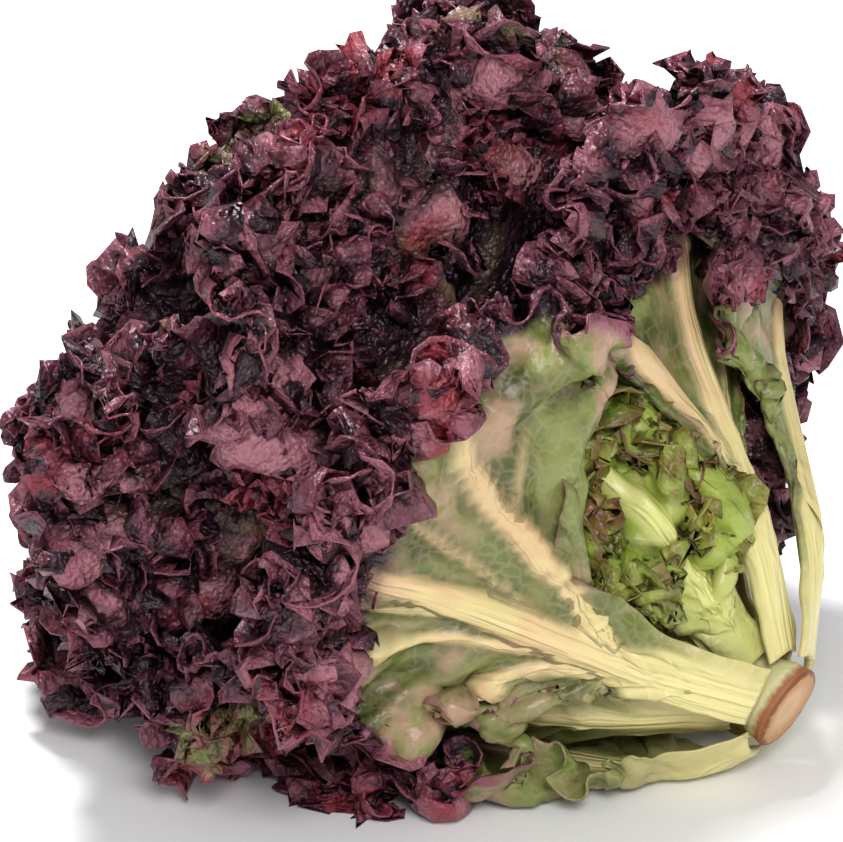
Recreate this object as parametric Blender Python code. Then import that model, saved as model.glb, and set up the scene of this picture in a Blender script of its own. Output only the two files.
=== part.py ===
"""A head of red leaf lettuce, cut at the stem and lying on its side.

Run it with: blender --background --python part.py

The head is a fountain of leaves round a short stem. Each leaf lies on a shell of its own: a surface
round the head's axis that starts on the stem and opens outwards. Shells are nested and never meet,
so the leaves can overlap from the side without cutting through each other. The outermost shell is
held back where it would go below the surface that the head lies on, and the inner shells follow it.

Each leaf is one solid: a blade under a millimetre thick, waved and toothed along its edge, with a
thick midrib on its outer side that widens towards the stem.
"""

import math

import bpy
import numpy as np

# The cut stem
BUTT_RADIUS = 0.0130
STEM_LENGTH = 0.050
STEM_TOP_RADIUS = 0.0030
STEM_SIDES = 20
BUTT_CENTRE_HEIGHT = 0.0205
HEAD_TILT = math.radians(21)  # the head's axis rises this much from the cut end to the leaves

# The shells, from the outermost, 0, to the innermost, 1
SHELLS = 28  # leaf places are counted in steps of 1 / SHELLS
FIRST_LEAF_UP_STEM = 0.0030
LEAVES_UP_STEM = 0.0430
BASE_GAP = 0.0028  # from the stem to the middle of a leaf's base
OPENING = math.radians(50)  # of the outermost shell, from the axis
CURL = math.radians(8)  # how much further its upper part bends outwards
CURL_START = 0.100
CURL_LENGTH = 0.085
NESTING = 0.92
BEND_REACH = 0.040  # distance over which a leaf turns from the stem to its shell
FLOOR_CLEARANCE = 0.0022  # of the middle of the lowest leaf
FLOOR_SOFTNESS = 0.004
FLOOR_STEP = 0.0014  # between neighbouring shells that lie flat
STACKING = (0.035, 0.085)  # the shells lie flat beyond this far from the cut end
FLOOR_BLEND = 14.0  # how sharply the shells turn where they meet the surface

# A leaf
BLADE_THICKNESS = 0.0009
RIB_THICKNESS = 0.0048
RIB_HALF_WIDTH = 0.0065
BASE_EXTRA = 0.0008  # the whole base is thicker than the blade by about this
RIB_FADE = 0.120  # distance from the stem over which the midrib thins
STALK_HALF_WIDTH = 0.0110
TIP_BLUNTNESS = 2.8
TIP_ROOT = 0.86  # the midrib ends here, and the tip's veins fan out from it
WAVES = 6  # along each side
WAVE_SHELLS = 0.90  # height of the waves, in shells
ROLL_SHELLS = 0.55  # how far the edge rolls outwards, in shells
TOOTH_DEPTH = 0.07  # of the distance from midrib to edge
# Where one side of a leaf is wider, its blade only starts well up its forked midrib: twice the
# extra width is cut away around this share of the length, over about this share of it.
FORK_AT = 0.47
FORK_SPAN = 0.16

# Turn about the head's axis from the top of the head towards the front, place in the order of
# shells, half width as an angle at the widest point, furthest reach from the cut end, the shares
# of the leaf's length at which its stalk ends and at which it is widest, and how much wider its
# side towards the top of the head is.
# The outer leaves stand where the head was opened out. The inner ones follow the golden angle.
OUTER_LEAVES = [
    (145, 0.0, 38, 0.160, -0.12, 0.58, 0.0),
    (74, 2.2, 42, 0.169, 0.20, 0.74, 0.32),
    (-44, 1.6, 36, 0.156, 0.36, 0.82, 0.0),
    (218, 2.4, 38, 0.166, 0.20, 0.74, 0.0),
    (30, 6.6, 30, 0.126, 0.10, 0.66, 0.0),
    (270, 4.8, 38, 0.150, 0.20, 0.74, 0.0),
    (-10, 4.2, 35, 0.182, 0.34, 0.80, 0.0),
    (110, 5.2, 38, 0.174, 0.15, 0.72, 0.0),
    (246, 7.4, 38, 0.172, 0.15, 0.72, 0.0),
    (32, 9.0, 40, 0.226, 0.20, 0.74, 0.0),
    (150, 8.8, 40, 0.240, 0.15, 0.72, 0.0),
    (304, 10.2, 40, 0.190, 0.15, 0.72, 0.0),
]
INNER_SHAPE = (0.15, 0.72, 0.0)
INNER_LEAVES = 16
GOLDEN_ANGLE = 137.5
INNER_REACH = 0.238
HEART_REACH = 0.268
SIDE_SHORTENING = 0.07  # of the inner leaves that point to the front or the back
TOP_SHORTENING = 0.09  # of those that point up

BURGUNDY = (0.085, 0.012, 0.022, 1.0)
GREEN = (0.26, 0.38, 0.07, 1.0)
CREAM = (0.62, 0.62, 0.34, 1.0)

AXIS = np.array([-math.cos(HEAD_TILT), 0.0, math.sin(HEAD_TILT)])
UP = np.array([math.sin(HEAD_TILT), 0.0, math.cos(HEAD_TILT)])
FRONT = np.array([0.0, -1.0, 0.0])
BUTT_CENTRE = np.array([0.0, 0.0, BUTT_CENTRE_HEIGHT])


def smooth(value, start=0.0, end=1.0):
    """0 before start, 1 after end, and a smooth rise between them."""
    share = np.clip((value - start) / (end - start), 0.0, 1.0)
    return share * share * (3.0 - 2.0 * share)


def leaf_table():
    """One row for each leaf, like those of OUTER_LEAVES."""
    rows = list(OUTER_LEAVES)
    turn, place = rows[-1][0], rows[-1][1]
    for n in range(1, INNER_LEAVES + 1):
        share = n / INNER_LEAVES
        inner_turn = (turn + GOLDEN_ANGLE * n) % 360
        up, across = math.cos(math.radians(inner_turn)), math.sin(math.radians(inner_turn))
        shortened = 1.0 - SIDE_SHORTENING * across**2 - TOP_SHORTENING * max(up, 0.0)
        reach = (INNER_REACH + (HEART_REACH - INNER_REACH) * share) * shortened
        rows.append((inner_turn, place + n, 41 - 3 * share, reach, *INNER_SHAPE))
    return rows


def stem_radius(height):
    """The stem's radius where leaves grow, at a height above the cut."""
    left = np.clip(1.0 - height / (STEM_LENGTH * 1.15), 0.02, 1.0)
    return BUTT_RADIUS * left**0.75


def base_of(shell):
    """(distance from the cut's centre, angle from the axis) at which a shell leaves the stem."""
    height = FIRST_LEAF_UP_STEM + LEAVES_UP_STEM * np.clip(shell, 0.0, 1.0)
    out = stem_radius(height) + BASE_GAP
    return np.hypot(out, height), np.arctan2(out, height)


def surface_angle(reach, turn):
    """The angle from the axis at which a shell would touch the surface the head lies on."""
    along = math.sin(HEAD_TILT)
    across = math.cos(HEAD_TILT) * np.cos(turn)
    drop = BUTT_CENTRE_HEIGHT - FLOOR_CLEARANCE
    share = np.clip(-drop / (reach * np.hypot(along, across)), -1.0, 1.0)
    return np.arctan2(across, along) + np.arccos(share)


def outer_angle(reach, turn):
    """The outermost shell's angle from the axis: open and curled, or lying on the surface."""
    free = OPENING + CURL * smooth(reach, CURL_START, CURL_START + CURL_LENGTH)
    held = surface_angle(reach, turn)
    return -np.log(np.exp(-FLOOR_BLEND * free) + np.exp(-FLOOR_BLEND * held)) / FLOOR_BLEND


def shell_angle(shell, reach, turn):
    """A shell's angle from the axis at a distance from the cut's centre."""
    start, angle = base_of(shell)
    far = outer_angle(reach, turn) * np.maximum(1.0 - shell, 0.0) ** NESTING
    return angle + (far - angle) * (1.0 - np.exp(-np.maximum(reach - start, 0.0) / BEND_REACH))


def place(shell, reach, turn):
    """The point on a shell at a distance from the cut's centre and a turn about the axis."""
    angle = shell_angle(shell, reach, turn)
    out = np.cos(turn)[..., None] * UP + np.sin(turn)[..., None] * FRONT
    points = np.cos(angle)[..., None] * AXIS + np.sin(angle)[..., None] * out
    points = BUTT_CENTRE + reach[..., None] * points
    stacked = FLOOR_STEP * SHELLS * np.maximum(shell, 0.0) * smooth(reach, *STACKING)
    lowest = FLOOR_CLEARANCE * 0.5 + stacked
    above = points[..., 2] - lowest - FLOOR_SOFTNESS
    sunk = FLOOR_SOFTNESS * np.exp(np.minimum(above, 0.0) / FLOOR_SOFTNESS)
    points[..., 2] = np.where(above < 0, lowest + sunk, points[..., 2])
    return points


class Leaf:
    """The measures of one leaf: its midrib, its outline and its place among the shells."""

    def __init__(self, turn, order, half_width, reach, stalk_end, widest_at, lean):
        self.turn = math.radians(turn)
        self.shell = order / SHELLS
        self.start = float(base_of(self.shell)[0])
        self.reach_end = reach
        self.stalk_end = stalk_end
        self.widest_at = widest_at
        self.lean = lean
        reaches = np.linspace(self.start, reach, 200)
        rib = place(np.full(200, self.shell), reaches, np.full(200, self.turn))
        steps = np.linalg.norm(np.diff(rib, axis=0), axis=1)
        self.rib_reaches = reaches
        self.rib_lengths = np.concatenate([[0.0], np.cumsum(steps)])
        self.length = self.rib_lengths[-1]
        widest = self.reach_at(widest_at)
        self.half_width = math.radians(half_width) * self.distance_from_axis(widest)
        self.widest_turn = math.radians(half_width) * 1.03 * (1.0 + lean)
        self.stalk = STALK_HALF_WIDTH * (1.0 - 0.45 * self.shell)

    def reach_at(self, share):
        """Distance from the cut's centre at a share of the midrib's length."""
        return np.interp(share * self.length, self.rib_lengths, self.rib_reaches)

    def distance_from_axis(self, reach):
        reach = np.asarray(reach, float)
        full = np.broadcast_to(self.turn, reach.shape)
        return reach * np.sin(shell_angle(self.shell, reach, full))

    def width_at(self, share):
        """Half the leaf's width at a share of its length: a stalk, then a blade with a round end."""
        blade = smooth(share, self.stalk_end, self.widest_at)
        past = np.clip((share - self.widest_at) / (1.0 - self.widest_at), 0.0, 1.0)
        end = np.sqrt(1.0 - past**TIP_BLUNTNESS)
        return (self.stalk + (self.half_width - self.stalk) * blade) * end

    def side_width(self, share, side):
        """How wide a side is for a leaf whose sides differ, as a share of the plain half width."""
        cut = np.exp(-(((share - FORK_AT) / FORK_SPAN) ** 2)) * (0.5 - 0.5 * side)
        return (1.0 - self.lean * side) * (1.0 - 2.0 * self.lean * cut)

    def edge(self, along):
        """(share of length, half width) of the outline, at shares of its own length from the base."""
        shares = 1.0 - np.linspace(1.0, 0.0, 400) ** 2.0
        widths = self.width_at(shares)
        steps = np.hypot(np.diff(shares) * self.length, np.diff(widths))
        run = np.concatenate([[0.0], np.cumsum(steps)])
        run = run / run[-1]
        return np.interp(along, run, shares), np.interp(along, run, widths)

    def points(self, along, across, side):
        """Points of the leaf's middle surface, and how far each is from the midrib.

        along runs along the edge from the base, 0, to the tip, 1. across runs along a side vein
        from the midrib, 0, to the edge, 1. side is 1 or -1.
        """
        share, width = self.edge(along)
        width = width * self.side_width(share, side)
        root = share * (0.50 + (TIP_ROOT - 0.50) * along**3)
        toothed = 1.0 - TOOTH_DEPTH * (0.5 - 0.5 * np.cos(2 * np.pi * 2 * WAVES * along))
        across_cut = across * (1.0 + (toothed - 1.0) * smooth(across, 0.6, 1.0))
        x = root + (share - root) * across_cut
        y = width * across_cut * side
        reach = self.reach_at(x)
        turn_off = np.clip(y / self.distance_from_axis(reach), -self.widest_turn, self.widest_turn)
        return place(self.shell_at(along, across, side), reach, self.turn + turn_off), np.abs(y)

    def shell_at(self, along, across, side):
        """The shell that a point of the leaf lies on, once the edge is waved and rolled outwards."""
        leafy = smooth(along, 0.10, 0.35)
        wave = np.sin(2 * np.pi * WAVES * along + (0.9 if side > 0 else 0.0))
        calm = 1.0 - 0.55 * smooth(self.shell, 0.45, 0.85)
        shift = WAVE_SHELLS * calm * wave * across**1.6 - ROLL_SHELLS * across**2.5
        return self.shell + leafy * shift / SHELLS


def sheet_of(leaf, rows):
    """(points, triangles, distances from the midrib) of a leaf's middle surface.

    The side veins are the sheet's lines. rows is the number of lines from base to tip on each side.
    They are doubled in the outer half, so that the waved edge has as many points as it needs.
    """
    rings = [(0.0, 1), (0.13, 1), (0.46, 1), (0.76, 2), (1.0, 2)]
    points, from_midrib, index = [], [], {}

    def add(ring, fine, side, along, across):
        if ring == 0:
            key = (0, fine)
        elif fine == rows * 2:
            key = (ring, "tip")
        else:
            key = (ring, fine, side)
        if key not in index:
            index[key] = len(points)
            where, distance = leaf.points(np.array([along]), np.array([across]), side)
            if fine == rows * 2 and ring:
                other, _ = leaf.points(np.array([along]), np.array([across]), -side)
                where = (where + other) / 2
            points.append(where[0])
            from_midrib.append(distance[0])
        return index[key]

    triangles = []
    for side in (1, -1):
        lines = []
        for ring, (across, detail) in enumerate(rings):
            step = 2 // detail
            line = [
                add(ring, fine, side, fine / (2 * rows), across)
                for fine in range(0, 2 * rows + 1, step)
            ]
            lines.append(line)
        for inner, outer in zip(lines, lines[1:]):
            ratio = (len(outer) - 1) // (len(inner) - 1)
            for n in range(len(inner) - 1):
                a, b = inner[n], inner[n + 1]
                out = outer[n * ratio : (n + 1) * ratio + 1]
                if ratio == 1:
                    found = [(a, b, out[1]), (a, out[1], out[0])]
                else:
                    found = [(a, out[1], out[0]), (a, b, out[1]), (b, out[2], out[1])]
                triangles += [t if side > 0 else t[::-1] for t in found]
    return np.array(points), np.array(triangles), np.array(from_midrib)


def normals_of(points, triangles):
    """A unit normal for each point, the mean of its triangles' normals."""
    a, b, c = (points[triangles[:, n]] for n in range(3))
    faces = np.cross(b - a, c - a)
    sums = np.zeros_like(points)
    for n in range(3):
        np.add.at(sums, triangles[:, n], faces)
    return sums / np.maximum(np.linalg.norm(sums, axis=1), 1e-12)[:, None]


def edge_loop(triangles):
    """The directed edges that only one triangle has."""
    edges = {}
    for t in triangles:
        for a, b in ((t[0], t[1]), (t[1], t[2]), (t[2], t[0])):
            edges[(int(a), int(b))] = True
    return [(a, b) for a, b in edges if (b, a) not in edges]


def leaf_solid(leaf, rows):
    """(points, triangles) of the closed leaf: the sheet given its thickness and its midrib."""
    points, triangles, from_midrib = sheet_of(leaf, rows)
    normals = normals_of(points, triangles)
    outward = points - (BUTT_CENTRE + ((points - BUTT_CENTRE) @ AXIS)[:, None] * AXIS)
    if (normals * outward).sum() < 0:
        triangles = triangles[:, ::-1]
        normals = -normals
    grown = np.linalg.norm(points - BUTT_CENTRE, axis=1) - leaf.start
    left = leaf.reach_end - leaf.start - grown
    fade = np.exp(-np.maximum(grown - 0.02, 0.0) / RIB_FADE) * smooth(left, 0.0, 0.05)
    room = 0.25 + 0.75 * smooth(grown, 0.004, 0.045)
    size = (1.0 - 0.75 * leaf.shell) * min(1.0, leaf.reach_end / 0.160)
    rib = RIB_THICKNESS * size * room * fade * np.exp(-((from_midrib / RIB_HALF_WIDTH) ** 2))
    near_stem = BASE_EXTRA * (1.0 - leaf.shell) * (1.0 - smooth(grown, 0.012, 0.045))
    outer = points + normals * (BLADE_THICKNESS / 2 + near_stem + rib * 0.8)[:, None]
    inner = points - normals * (BLADE_THICKNESS / 2 + near_stem * 0.3 + rib * 0.2)[:, None]
    outer[:, 2] = np.maximum(outer[:, 2], 0.0)
    count = len(points)
    border = edge_loop(triangles)
    walls = []
    for a, b in border:
        walls += [(b, a, a + count), (b, a + count, b + count)]
    faces = np.concatenate([triangles, triangles[:, ::-1] + count, np.array(walls)])
    return np.concatenate([outer, inner]), faces


def stem_solid():
    """(points, faces) of the stem, turned about the head's axis from the cut to its soft top."""
    profile = [
        (0.0, BUTT_RADIUS - 0.0006),
        (0.0006, BUTT_RADIUS),
        (0.0040, BUTT_RADIUS - 0.0004),
    ]
    for height in np.linspace(0.009, STEM_LENGTH - 0.004, 6):
        profile.append((height, float(stem_radius(height)) - 0.0006))
    profile.append((STEM_LENGTH, STEM_TOP_RADIUS * 0.6))
    turns = np.arange(STEM_SIDES) * 2 * np.pi / STEM_SIDES
    rings = [
        BUTT_CENTRE
        + height * AXIS
        + radius * (np.cos(turns)[:, None] * UP + np.sin(turns)[:, None] * FRONT)
        for height, radius in profile
    ]
    faces = [tuple(range(STEM_SIDES))]
    for ring in range(len(rings) - 1):
        low = ring * STEM_SIDES
        high = low + STEM_SIDES
        for n in range(STEM_SIDES):
            m = (n + 1) % STEM_SIDES
            faces.append((low + m, low + n, high + n, high + m))
    last = (len(rings) - 1) * STEM_SIDES
    faces.append(tuple(last + n for n in reversed(range(STEM_SIDES))))
    return np.concatenate(rings), faces


def material(name, colour, roughness):
    made = bpy.data.materials.new(name)
    made.use_nodes = True
    shader = made.node_tree.nodes["Principled BSDF"]
    shader.inputs["Base Color"].default_value = colour
    shader.inputs["Roughness"].default_value = roughness
    shader.inputs["Metallic"].default_value = 0.0
    return made


def add_object(name, points, faces, finish):
    mesh = bpy.data.meshes.new(name)
    mesh.from_pydata(points.tolist(), [], [tuple(map(int, f)) for f in faces])
    mesh.materials.append(finish)
    mesh.shade_smooth()
    made = bpy.data.objects.new(name, mesh)
    bpy.context.scene.collection.objects.link(made)
    return made


def main():
    for old in list(bpy.data.objects):
        bpy.data.objects.remove(old, do_unlink=True)
    solids = {"stem": stem_solid()}
    finishes = {"stem": material("stem", CREAM, 0.5)}
    red = material("red_leaf", BURGUNDY, 0.4)
    green = material("green_leaf", GREEN, 0.45)
    for number, row in enumerate(leaf_table(), 1):
        name = f"leaf_{number:02d}"
        rows = 12 if number <= 8 else 10
        solids[name] = leaf_solid(Leaf(*row), rows)
        finishes[name] = green if row[3] < 0.13 else red
    every = np.concatenate([points for points, _ in solids.values()])
    low, high = every.min(axis=0), every.max(axis=0)
    shift = np.array([-(low[0] + high[0]) / 2, -(low[1] + high[1]) / 2, 0.0])
    for name, (points, faces) in solids.items():
        add_object(name, points + shift, faces, finishes[name])


main()
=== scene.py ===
# %% [markdown]
# # A head of red leaf lettuce
#
# The object is one head of red leaf lettuce, cut at the stem and laid on its side. Pale midribs fan
# out from the cut end, and every blade ends in a deep frill, which is dark red on all the leaves but
# one short green one. The frills together make the round, crinkled dome of the head.
#
# This scene keeps the form of the solids in the shared frame: the same shells, outlines and waves.
# It replaces each leaf with a much finer sheet, and adds the frills, teeth, veins and colours.

import math

import bpy
import numpy as np
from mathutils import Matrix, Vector


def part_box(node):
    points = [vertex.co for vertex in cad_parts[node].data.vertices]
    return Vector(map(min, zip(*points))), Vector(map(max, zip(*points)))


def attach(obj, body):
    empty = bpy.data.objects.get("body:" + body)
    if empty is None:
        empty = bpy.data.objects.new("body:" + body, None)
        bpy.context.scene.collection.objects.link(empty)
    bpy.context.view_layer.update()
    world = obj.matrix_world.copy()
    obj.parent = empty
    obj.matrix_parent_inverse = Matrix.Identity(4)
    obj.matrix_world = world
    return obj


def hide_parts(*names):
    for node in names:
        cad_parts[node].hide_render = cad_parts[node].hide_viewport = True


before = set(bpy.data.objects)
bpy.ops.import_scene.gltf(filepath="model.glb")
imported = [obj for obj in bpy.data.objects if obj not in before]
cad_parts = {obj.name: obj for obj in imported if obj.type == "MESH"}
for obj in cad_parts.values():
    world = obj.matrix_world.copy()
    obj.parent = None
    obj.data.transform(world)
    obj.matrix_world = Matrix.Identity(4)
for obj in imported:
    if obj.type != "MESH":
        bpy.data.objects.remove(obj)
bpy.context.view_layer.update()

# %% [markdown]
# ## The shells that the leaves lie on
#
# A lettuce is a fountain of leaves round a short stem. Modelling each leaf freely and then pushing
# the leaves apart takes long and never ends well. Here each leaf lies on a shell of its own instead:
# a surface round the head's axis that starts on the stem and opens outwards. The shells are nested,
# so leaves on different shells can't cross, however much they overlap from the side.
#
# A place on a leaf is given by its shell, its distance from the cut end (reach), and its turn about
# the head's axis. The numbers are those of the solids, so both models share one form.

# %% Measures of the head
BUTT_RADIUS = 0.0130
CUT_CHAMFER = 0.0006
STEM_LENGTH = 0.050
BUTT_CENTRE_HEIGHT = 0.0205
HEAD_TILT = math.radians(21)
SHELLS = 28
FIRST_LEAF_UP_STEM = 0.0030
LEAVES_UP_STEM = 0.0430
BASE_GAP = 0.0028
OPENING = math.radians(50)
CURL = math.radians(8)
CURL_START = 0.100
CURL_LENGTH = 0.085
NESTING = 0.92
BEND_REACH = 0.040
FLOOR_CLEARANCE = 0.0022
FLOOR_SOFTNESS = 0.004
FLOOR_STEP = 0.0014
STACKING = (0.035, 0.085)
FLOOR_BLEND = 14.0

AXIS = np.array([-math.cos(HEAD_TILT), 0.0, math.sin(HEAD_TILT)])
UP = np.array([math.sin(HEAD_TILT), 0.0, math.cos(HEAD_TILT)])
FRONT = np.array([0.0, -1.0, 0.0])
stem_low, stem_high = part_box("stem")
BUTT_CENTRE = np.array(
    [
        stem_high.x - (BUTT_RADIUS - CUT_CHAMFER) * math.sin(HEAD_TILT),
        (stem_low.y + stem_high.y) / 2,
        BUTT_CENTRE_HEIGHT,
    ]
)
print("cut end at", BUTT_CENTRE.round(4))


# %% [markdown]
# The shells themselves are formulas, so that any leaf can ask for a point on any shell. Each shell
# starts at its own height on the stem and bends outwards. Where the surface under the head is in
# the way it is held back, with a soft minimum in place of a hard one, so that no crease shows.

# %% The shells
def smooth(value, start=0.0, end=1.0):
    """0 before start, 1 after end, and a smooth rise between them."""
    share = np.clip((value - start) / (end - start), 0.0, 1.0)
    return share * share * (3.0 - 2.0 * share)


def stem_radius(height):
    left = np.clip(1.0 - height / (STEM_LENGTH * 1.15), 0.02, 1.0)
    return BUTT_RADIUS * left**0.75


def base_of(shell):
    """(distance from the cut's centre, angle from the axis) at which a shell leaves the stem."""
    height = FIRST_LEAF_UP_STEM + LEAVES_UP_STEM * np.clip(shell, 0.0, 1.0)
    out = stem_radius(height) + BASE_GAP
    return np.hypot(out, height), np.arctan2(out, height)


def surface_angle(reach, turn):
    """The angle from the axis at which a shell would touch the surface the head lies on."""
    along = math.sin(HEAD_TILT)
    across = math.cos(HEAD_TILT) * np.cos(turn)
    drop = BUTT_CENTRE_HEIGHT - FLOOR_CLEARANCE
    share = np.clip(-drop / (reach * np.hypot(along, across)), -1.0, 1.0)
    return np.arctan2(across, along) + np.arccos(share)


def outer_angle(reach, turn):
    free = OPENING + CURL * smooth(reach, CURL_START, CURL_START + CURL_LENGTH)
    held = surface_angle(reach, turn)
    return -np.log(np.exp(-FLOOR_BLEND * free) + np.exp(-FLOOR_BLEND * held)) / FLOOR_BLEND


def shell_angle(shell, reach, turn):
    start, angle = base_of(shell)
    far = outer_angle(reach, turn) * np.maximum(1.0 - shell, 0.0) ** NESTING
    return angle + (far - angle) * (1.0 - np.exp(-np.maximum(reach - start, 0.0) / BEND_REACH))


def place(shell, reach, turn):
    """The point on a shell at a distance from the cut's centre and a turn about the axis."""
    angle = shell_angle(shell, reach, turn)
    out = np.cos(turn)[..., None] * UP + np.sin(turn)[..., None] * FRONT
    points = np.cos(angle)[..., None] * AXIS + np.sin(angle)[..., None] * out
    points = BUTT_CENTRE + reach[..., None] * points
    stacked = FLOOR_STEP * SHELLS * np.maximum(shell, 0.0) * smooth(reach, *STACKING)
    lowest = FLOOR_CLEARANCE * 0.5 + stacked
    above = points[..., 2] - lowest - FLOOR_SOFTNESS
    sunk = FLOOR_SOFTNESS * np.exp(np.minimum(above, 0.0) / FLOOR_SOFTNESS)
    points[..., 2] = np.where(above < 0, lowest + sunk, points[..., 2])
    return points


for label, turn in (("upper", 0.0), ("lower", math.pi)):
    angle = math.degrees(outer_angle(0.150, turn))
    print("outer shell,", label, "side:", round(angle, 1), "degrees from the axis")

# %% [markdown]
# ## The leaves
#
# Each row gives a leaf's turn about the axis, its shell, its half width as an angle, how far it
# reaches, the shares of its length at which the stalk ends and at which it is widest, and how much
# wider its upper side is. The outer leaves stand where they do in the photo. The inner ones follow
# the golden angle, as they grow.

# %% The table of leaves
OUTER_LEAVES = [
    (145, 0.0, 38, 0.160, -0.12, 0.58, 0.0),
    (74, 2.2, 42, 0.169, 0.20, 0.74, 0.32),
    (-44, 1.6, 36, 0.156, 0.36, 0.82, 0.0),
    (218, 2.4, 38, 0.166, 0.20, 0.74, 0.0),
    (30, 6.6, 30, 0.126, 0.10, 0.66, 0.0),
    (270, 4.8, 38, 0.150, 0.20, 0.74, 0.0),
    (-10, 4.2, 35, 0.182, 0.34, 0.80, 0.0),
    (110, 5.2, 38, 0.174, 0.15, 0.72, 0.0),
    (246, 7.4, 38, 0.172, 0.15, 0.72, 0.0),
    (32, 9.0, 40, 0.226, 0.20, 0.74, 0.0),
    (150, 8.8, 40, 0.240, 0.15, 0.72, 0.0),
    (304, 10.2, 40, 0.190, 0.15, 0.72, 0.0),
]
INNER_SHAPE = (0.15, 0.72, 0.0)
INNER_LEAVES = 16
GOLDEN_ANGLE = 137.5
INNER_REACH = 0.238
HEART_REACH = 0.268
SIDE_SHORTENING = 0.07
TOP_SHORTENING = 0.09
STALK_HALF_WIDTH = 0.0092
TIP_BLUNTNESS = 2.8
TIP_ROOT = 0.86
WAVES = 6
WAVE_SHELLS = 0.90
ROLL_SHELLS = 0.55
GREEN_LEAF = 5
FORK_AT = 0.47
FORK_SPAN = 0.16


def leaf_table():
    rows = list(OUTER_LEAVES)
    turn, shell = rows[-1][0], rows[-1][1]
    for n in range(1, INNER_LEAVES + 1):
        share = n / INNER_LEAVES
        inner_turn = (turn + GOLDEN_ANGLE * n) % 360
        up, across = math.cos(math.radians(inner_turn)), math.sin(math.radians(inner_turn))
        shortened = 1.0 - SIDE_SHORTENING * across**2 - TOP_SHORTENING * max(up, 0.0)
        reach = (INNER_REACH + (HEART_REACH - INNER_REACH) * share) * shortened
        rows.append((inner_turn, shell + n, 41 - 3 * share, reach, *INNER_SHAPE))
    return rows


class Leaf:
    """The measures of one leaf: its midrib, its outline and its place among the shells."""

    def __init__(self, turn, order, half_width, reach, stalk_end, widest_at, lean):
        self.turn = math.radians(turn)
        self.shell = order / SHELLS
        self.start = float(base_of(self.shell)[0])
        self.reach_end = reach
        self.stalk_end = stalk_end
        self.widest_at = widest_at
        self.lean = lean
        reaches = np.linspace(self.start, reach, 200)
        rib = place(np.full(200, self.shell), reaches, np.full(200, self.turn))
        steps = np.linalg.norm(np.diff(rib, axis=0), axis=1)
        self.rib_reaches = reaches
        self.rib_lengths = np.concatenate([[0.0], np.cumsum(steps)])
        self.length = self.rib_lengths[-1]
        widest = self.reach_at(widest_at)
        self.half_width = math.radians(half_width) * self.distance_from_axis(widest)
        self.widest_turn = math.radians(half_width) * 1.03 * (1.0 + lean)
        self.stalk = STALK_HALF_WIDTH * (1.0 - 0.45 * self.shell)
        shares = 1.0 - np.linspace(1.0, 0.0, 400) ** 2.0
        widths = self.width_at(shares)
        steps = np.hypot(np.diff(shares) * self.length, np.diff(widths))
        self.outline_run = np.concatenate([[0.0], np.cumsum(steps)])
        self.outline = shares, widths

    def reach_at(self, share):
        return np.interp(share * self.length, self.rib_lengths, self.rib_reaches)

    def distance_from_axis(self, reach):
        reach = np.asarray(reach, float)
        return reach * np.sin(shell_angle(self.shell, reach, np.broadcast_to(self.turn, reach.shape)))

    def width_at(self, share):
        blade = smooth(share, self.stalk_end, self.widest_at)
        past = np.clip((share - self.widest_at) / (1.0 - self.widest_at), 0.0, 1.0)
        return (self.stalk + (self.half_width - self.stalk) * blade) * np.sqrt(1.0 - past**TIP_BLUNTNESS)

    def side_width(self, share, side):
        """How wide a side is for a leaf whose sides differ. Its blade starts above the fork."""
        cut = np.exp(-(((share - FORK_AT) / FORK_SPAN) ** 2)) * (0.5 - 0.5 * side)
        return (1.0 - self.lean * side) * (1.0 - 2.0 * self.lean * cut)

    def edge(self, along):
        """(share of length, half width) of the outline, at shares of its own length from the base."""
        run = self.outline_run / self.outline_run[-1]
        return np.interp(along, run, self.outline[0]), np.interp(along, run, self.outline[1])

    def vein(self, along, side):
        """(root, end, half width at the end) of the side vein that ends at a place on the edge."""
        share, width = self.edge(along)
        root = share * (0.50 + (TIP_ROOT - 0.50) * along**3)
        return root, share, width * self.side_width(share, side)

    def points(self, along, across, side):
        """Points at shares of the way from midrib, 0, to edge, 1, on the side veins."""
        root, share, width = self.vein(along, side)
        reach = self.reach_at(root + (share - root) * across)
        turn_off = width * across * side / self.distance_from_axis(reach)
        turn_off = np.clip(turn_off, -self.widest_turn, self.widest_turn)
        return place(self.shell_at(along, across, side), reach, self.turn + turn_off)

    def shell_at(self, along, across, side):
        """The shell under a point, once the edge is waved and rolled outwards."""
        leafy = smooth(along, 0.10, 0.35)
        two = np.sin(2 * np.pi * WAVES * along + 0.9), np.sin(2 * np.pi * WAVES * along)
        wave = np.where(side > 0, *two)
        wave = wave + (sum(two) / 2 - wave) * smooth(along, 0.96, 1.0)
        calm = 1.0 - 0.55 * smooth(self.shell, 0.45, 0.85)
        shift = WAVE_SHELLS * calm * wave * across**1.6 - ROLL_SHELLS * across**2.5
        return self.shell + leafy * shift / SHELLS


leaves = [Leaf(*row) for row in leaf_table()]
print(len(leaves), "leaves,", round(min(x.length for x in leaves), 3), "to")
print(round(max(x.length for x in leaves), 3), "m long")

# %% [markdown]
# ## A fine sheet for each leaf
#
# The lines of the sheet follow the side veins from the midrib to the edge, so that ribs and veins
# can be raised along them. A frilled edge is several times longer than the blade behind it, so
# the sheet needs many points there and few near the midrib: the columns double on the way out.
#
# Each point carries what the later steps need: how far it is from the edge, where it is along the
# edge, the directions along and towards the edge, and the height of the ribs and veins.

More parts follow.
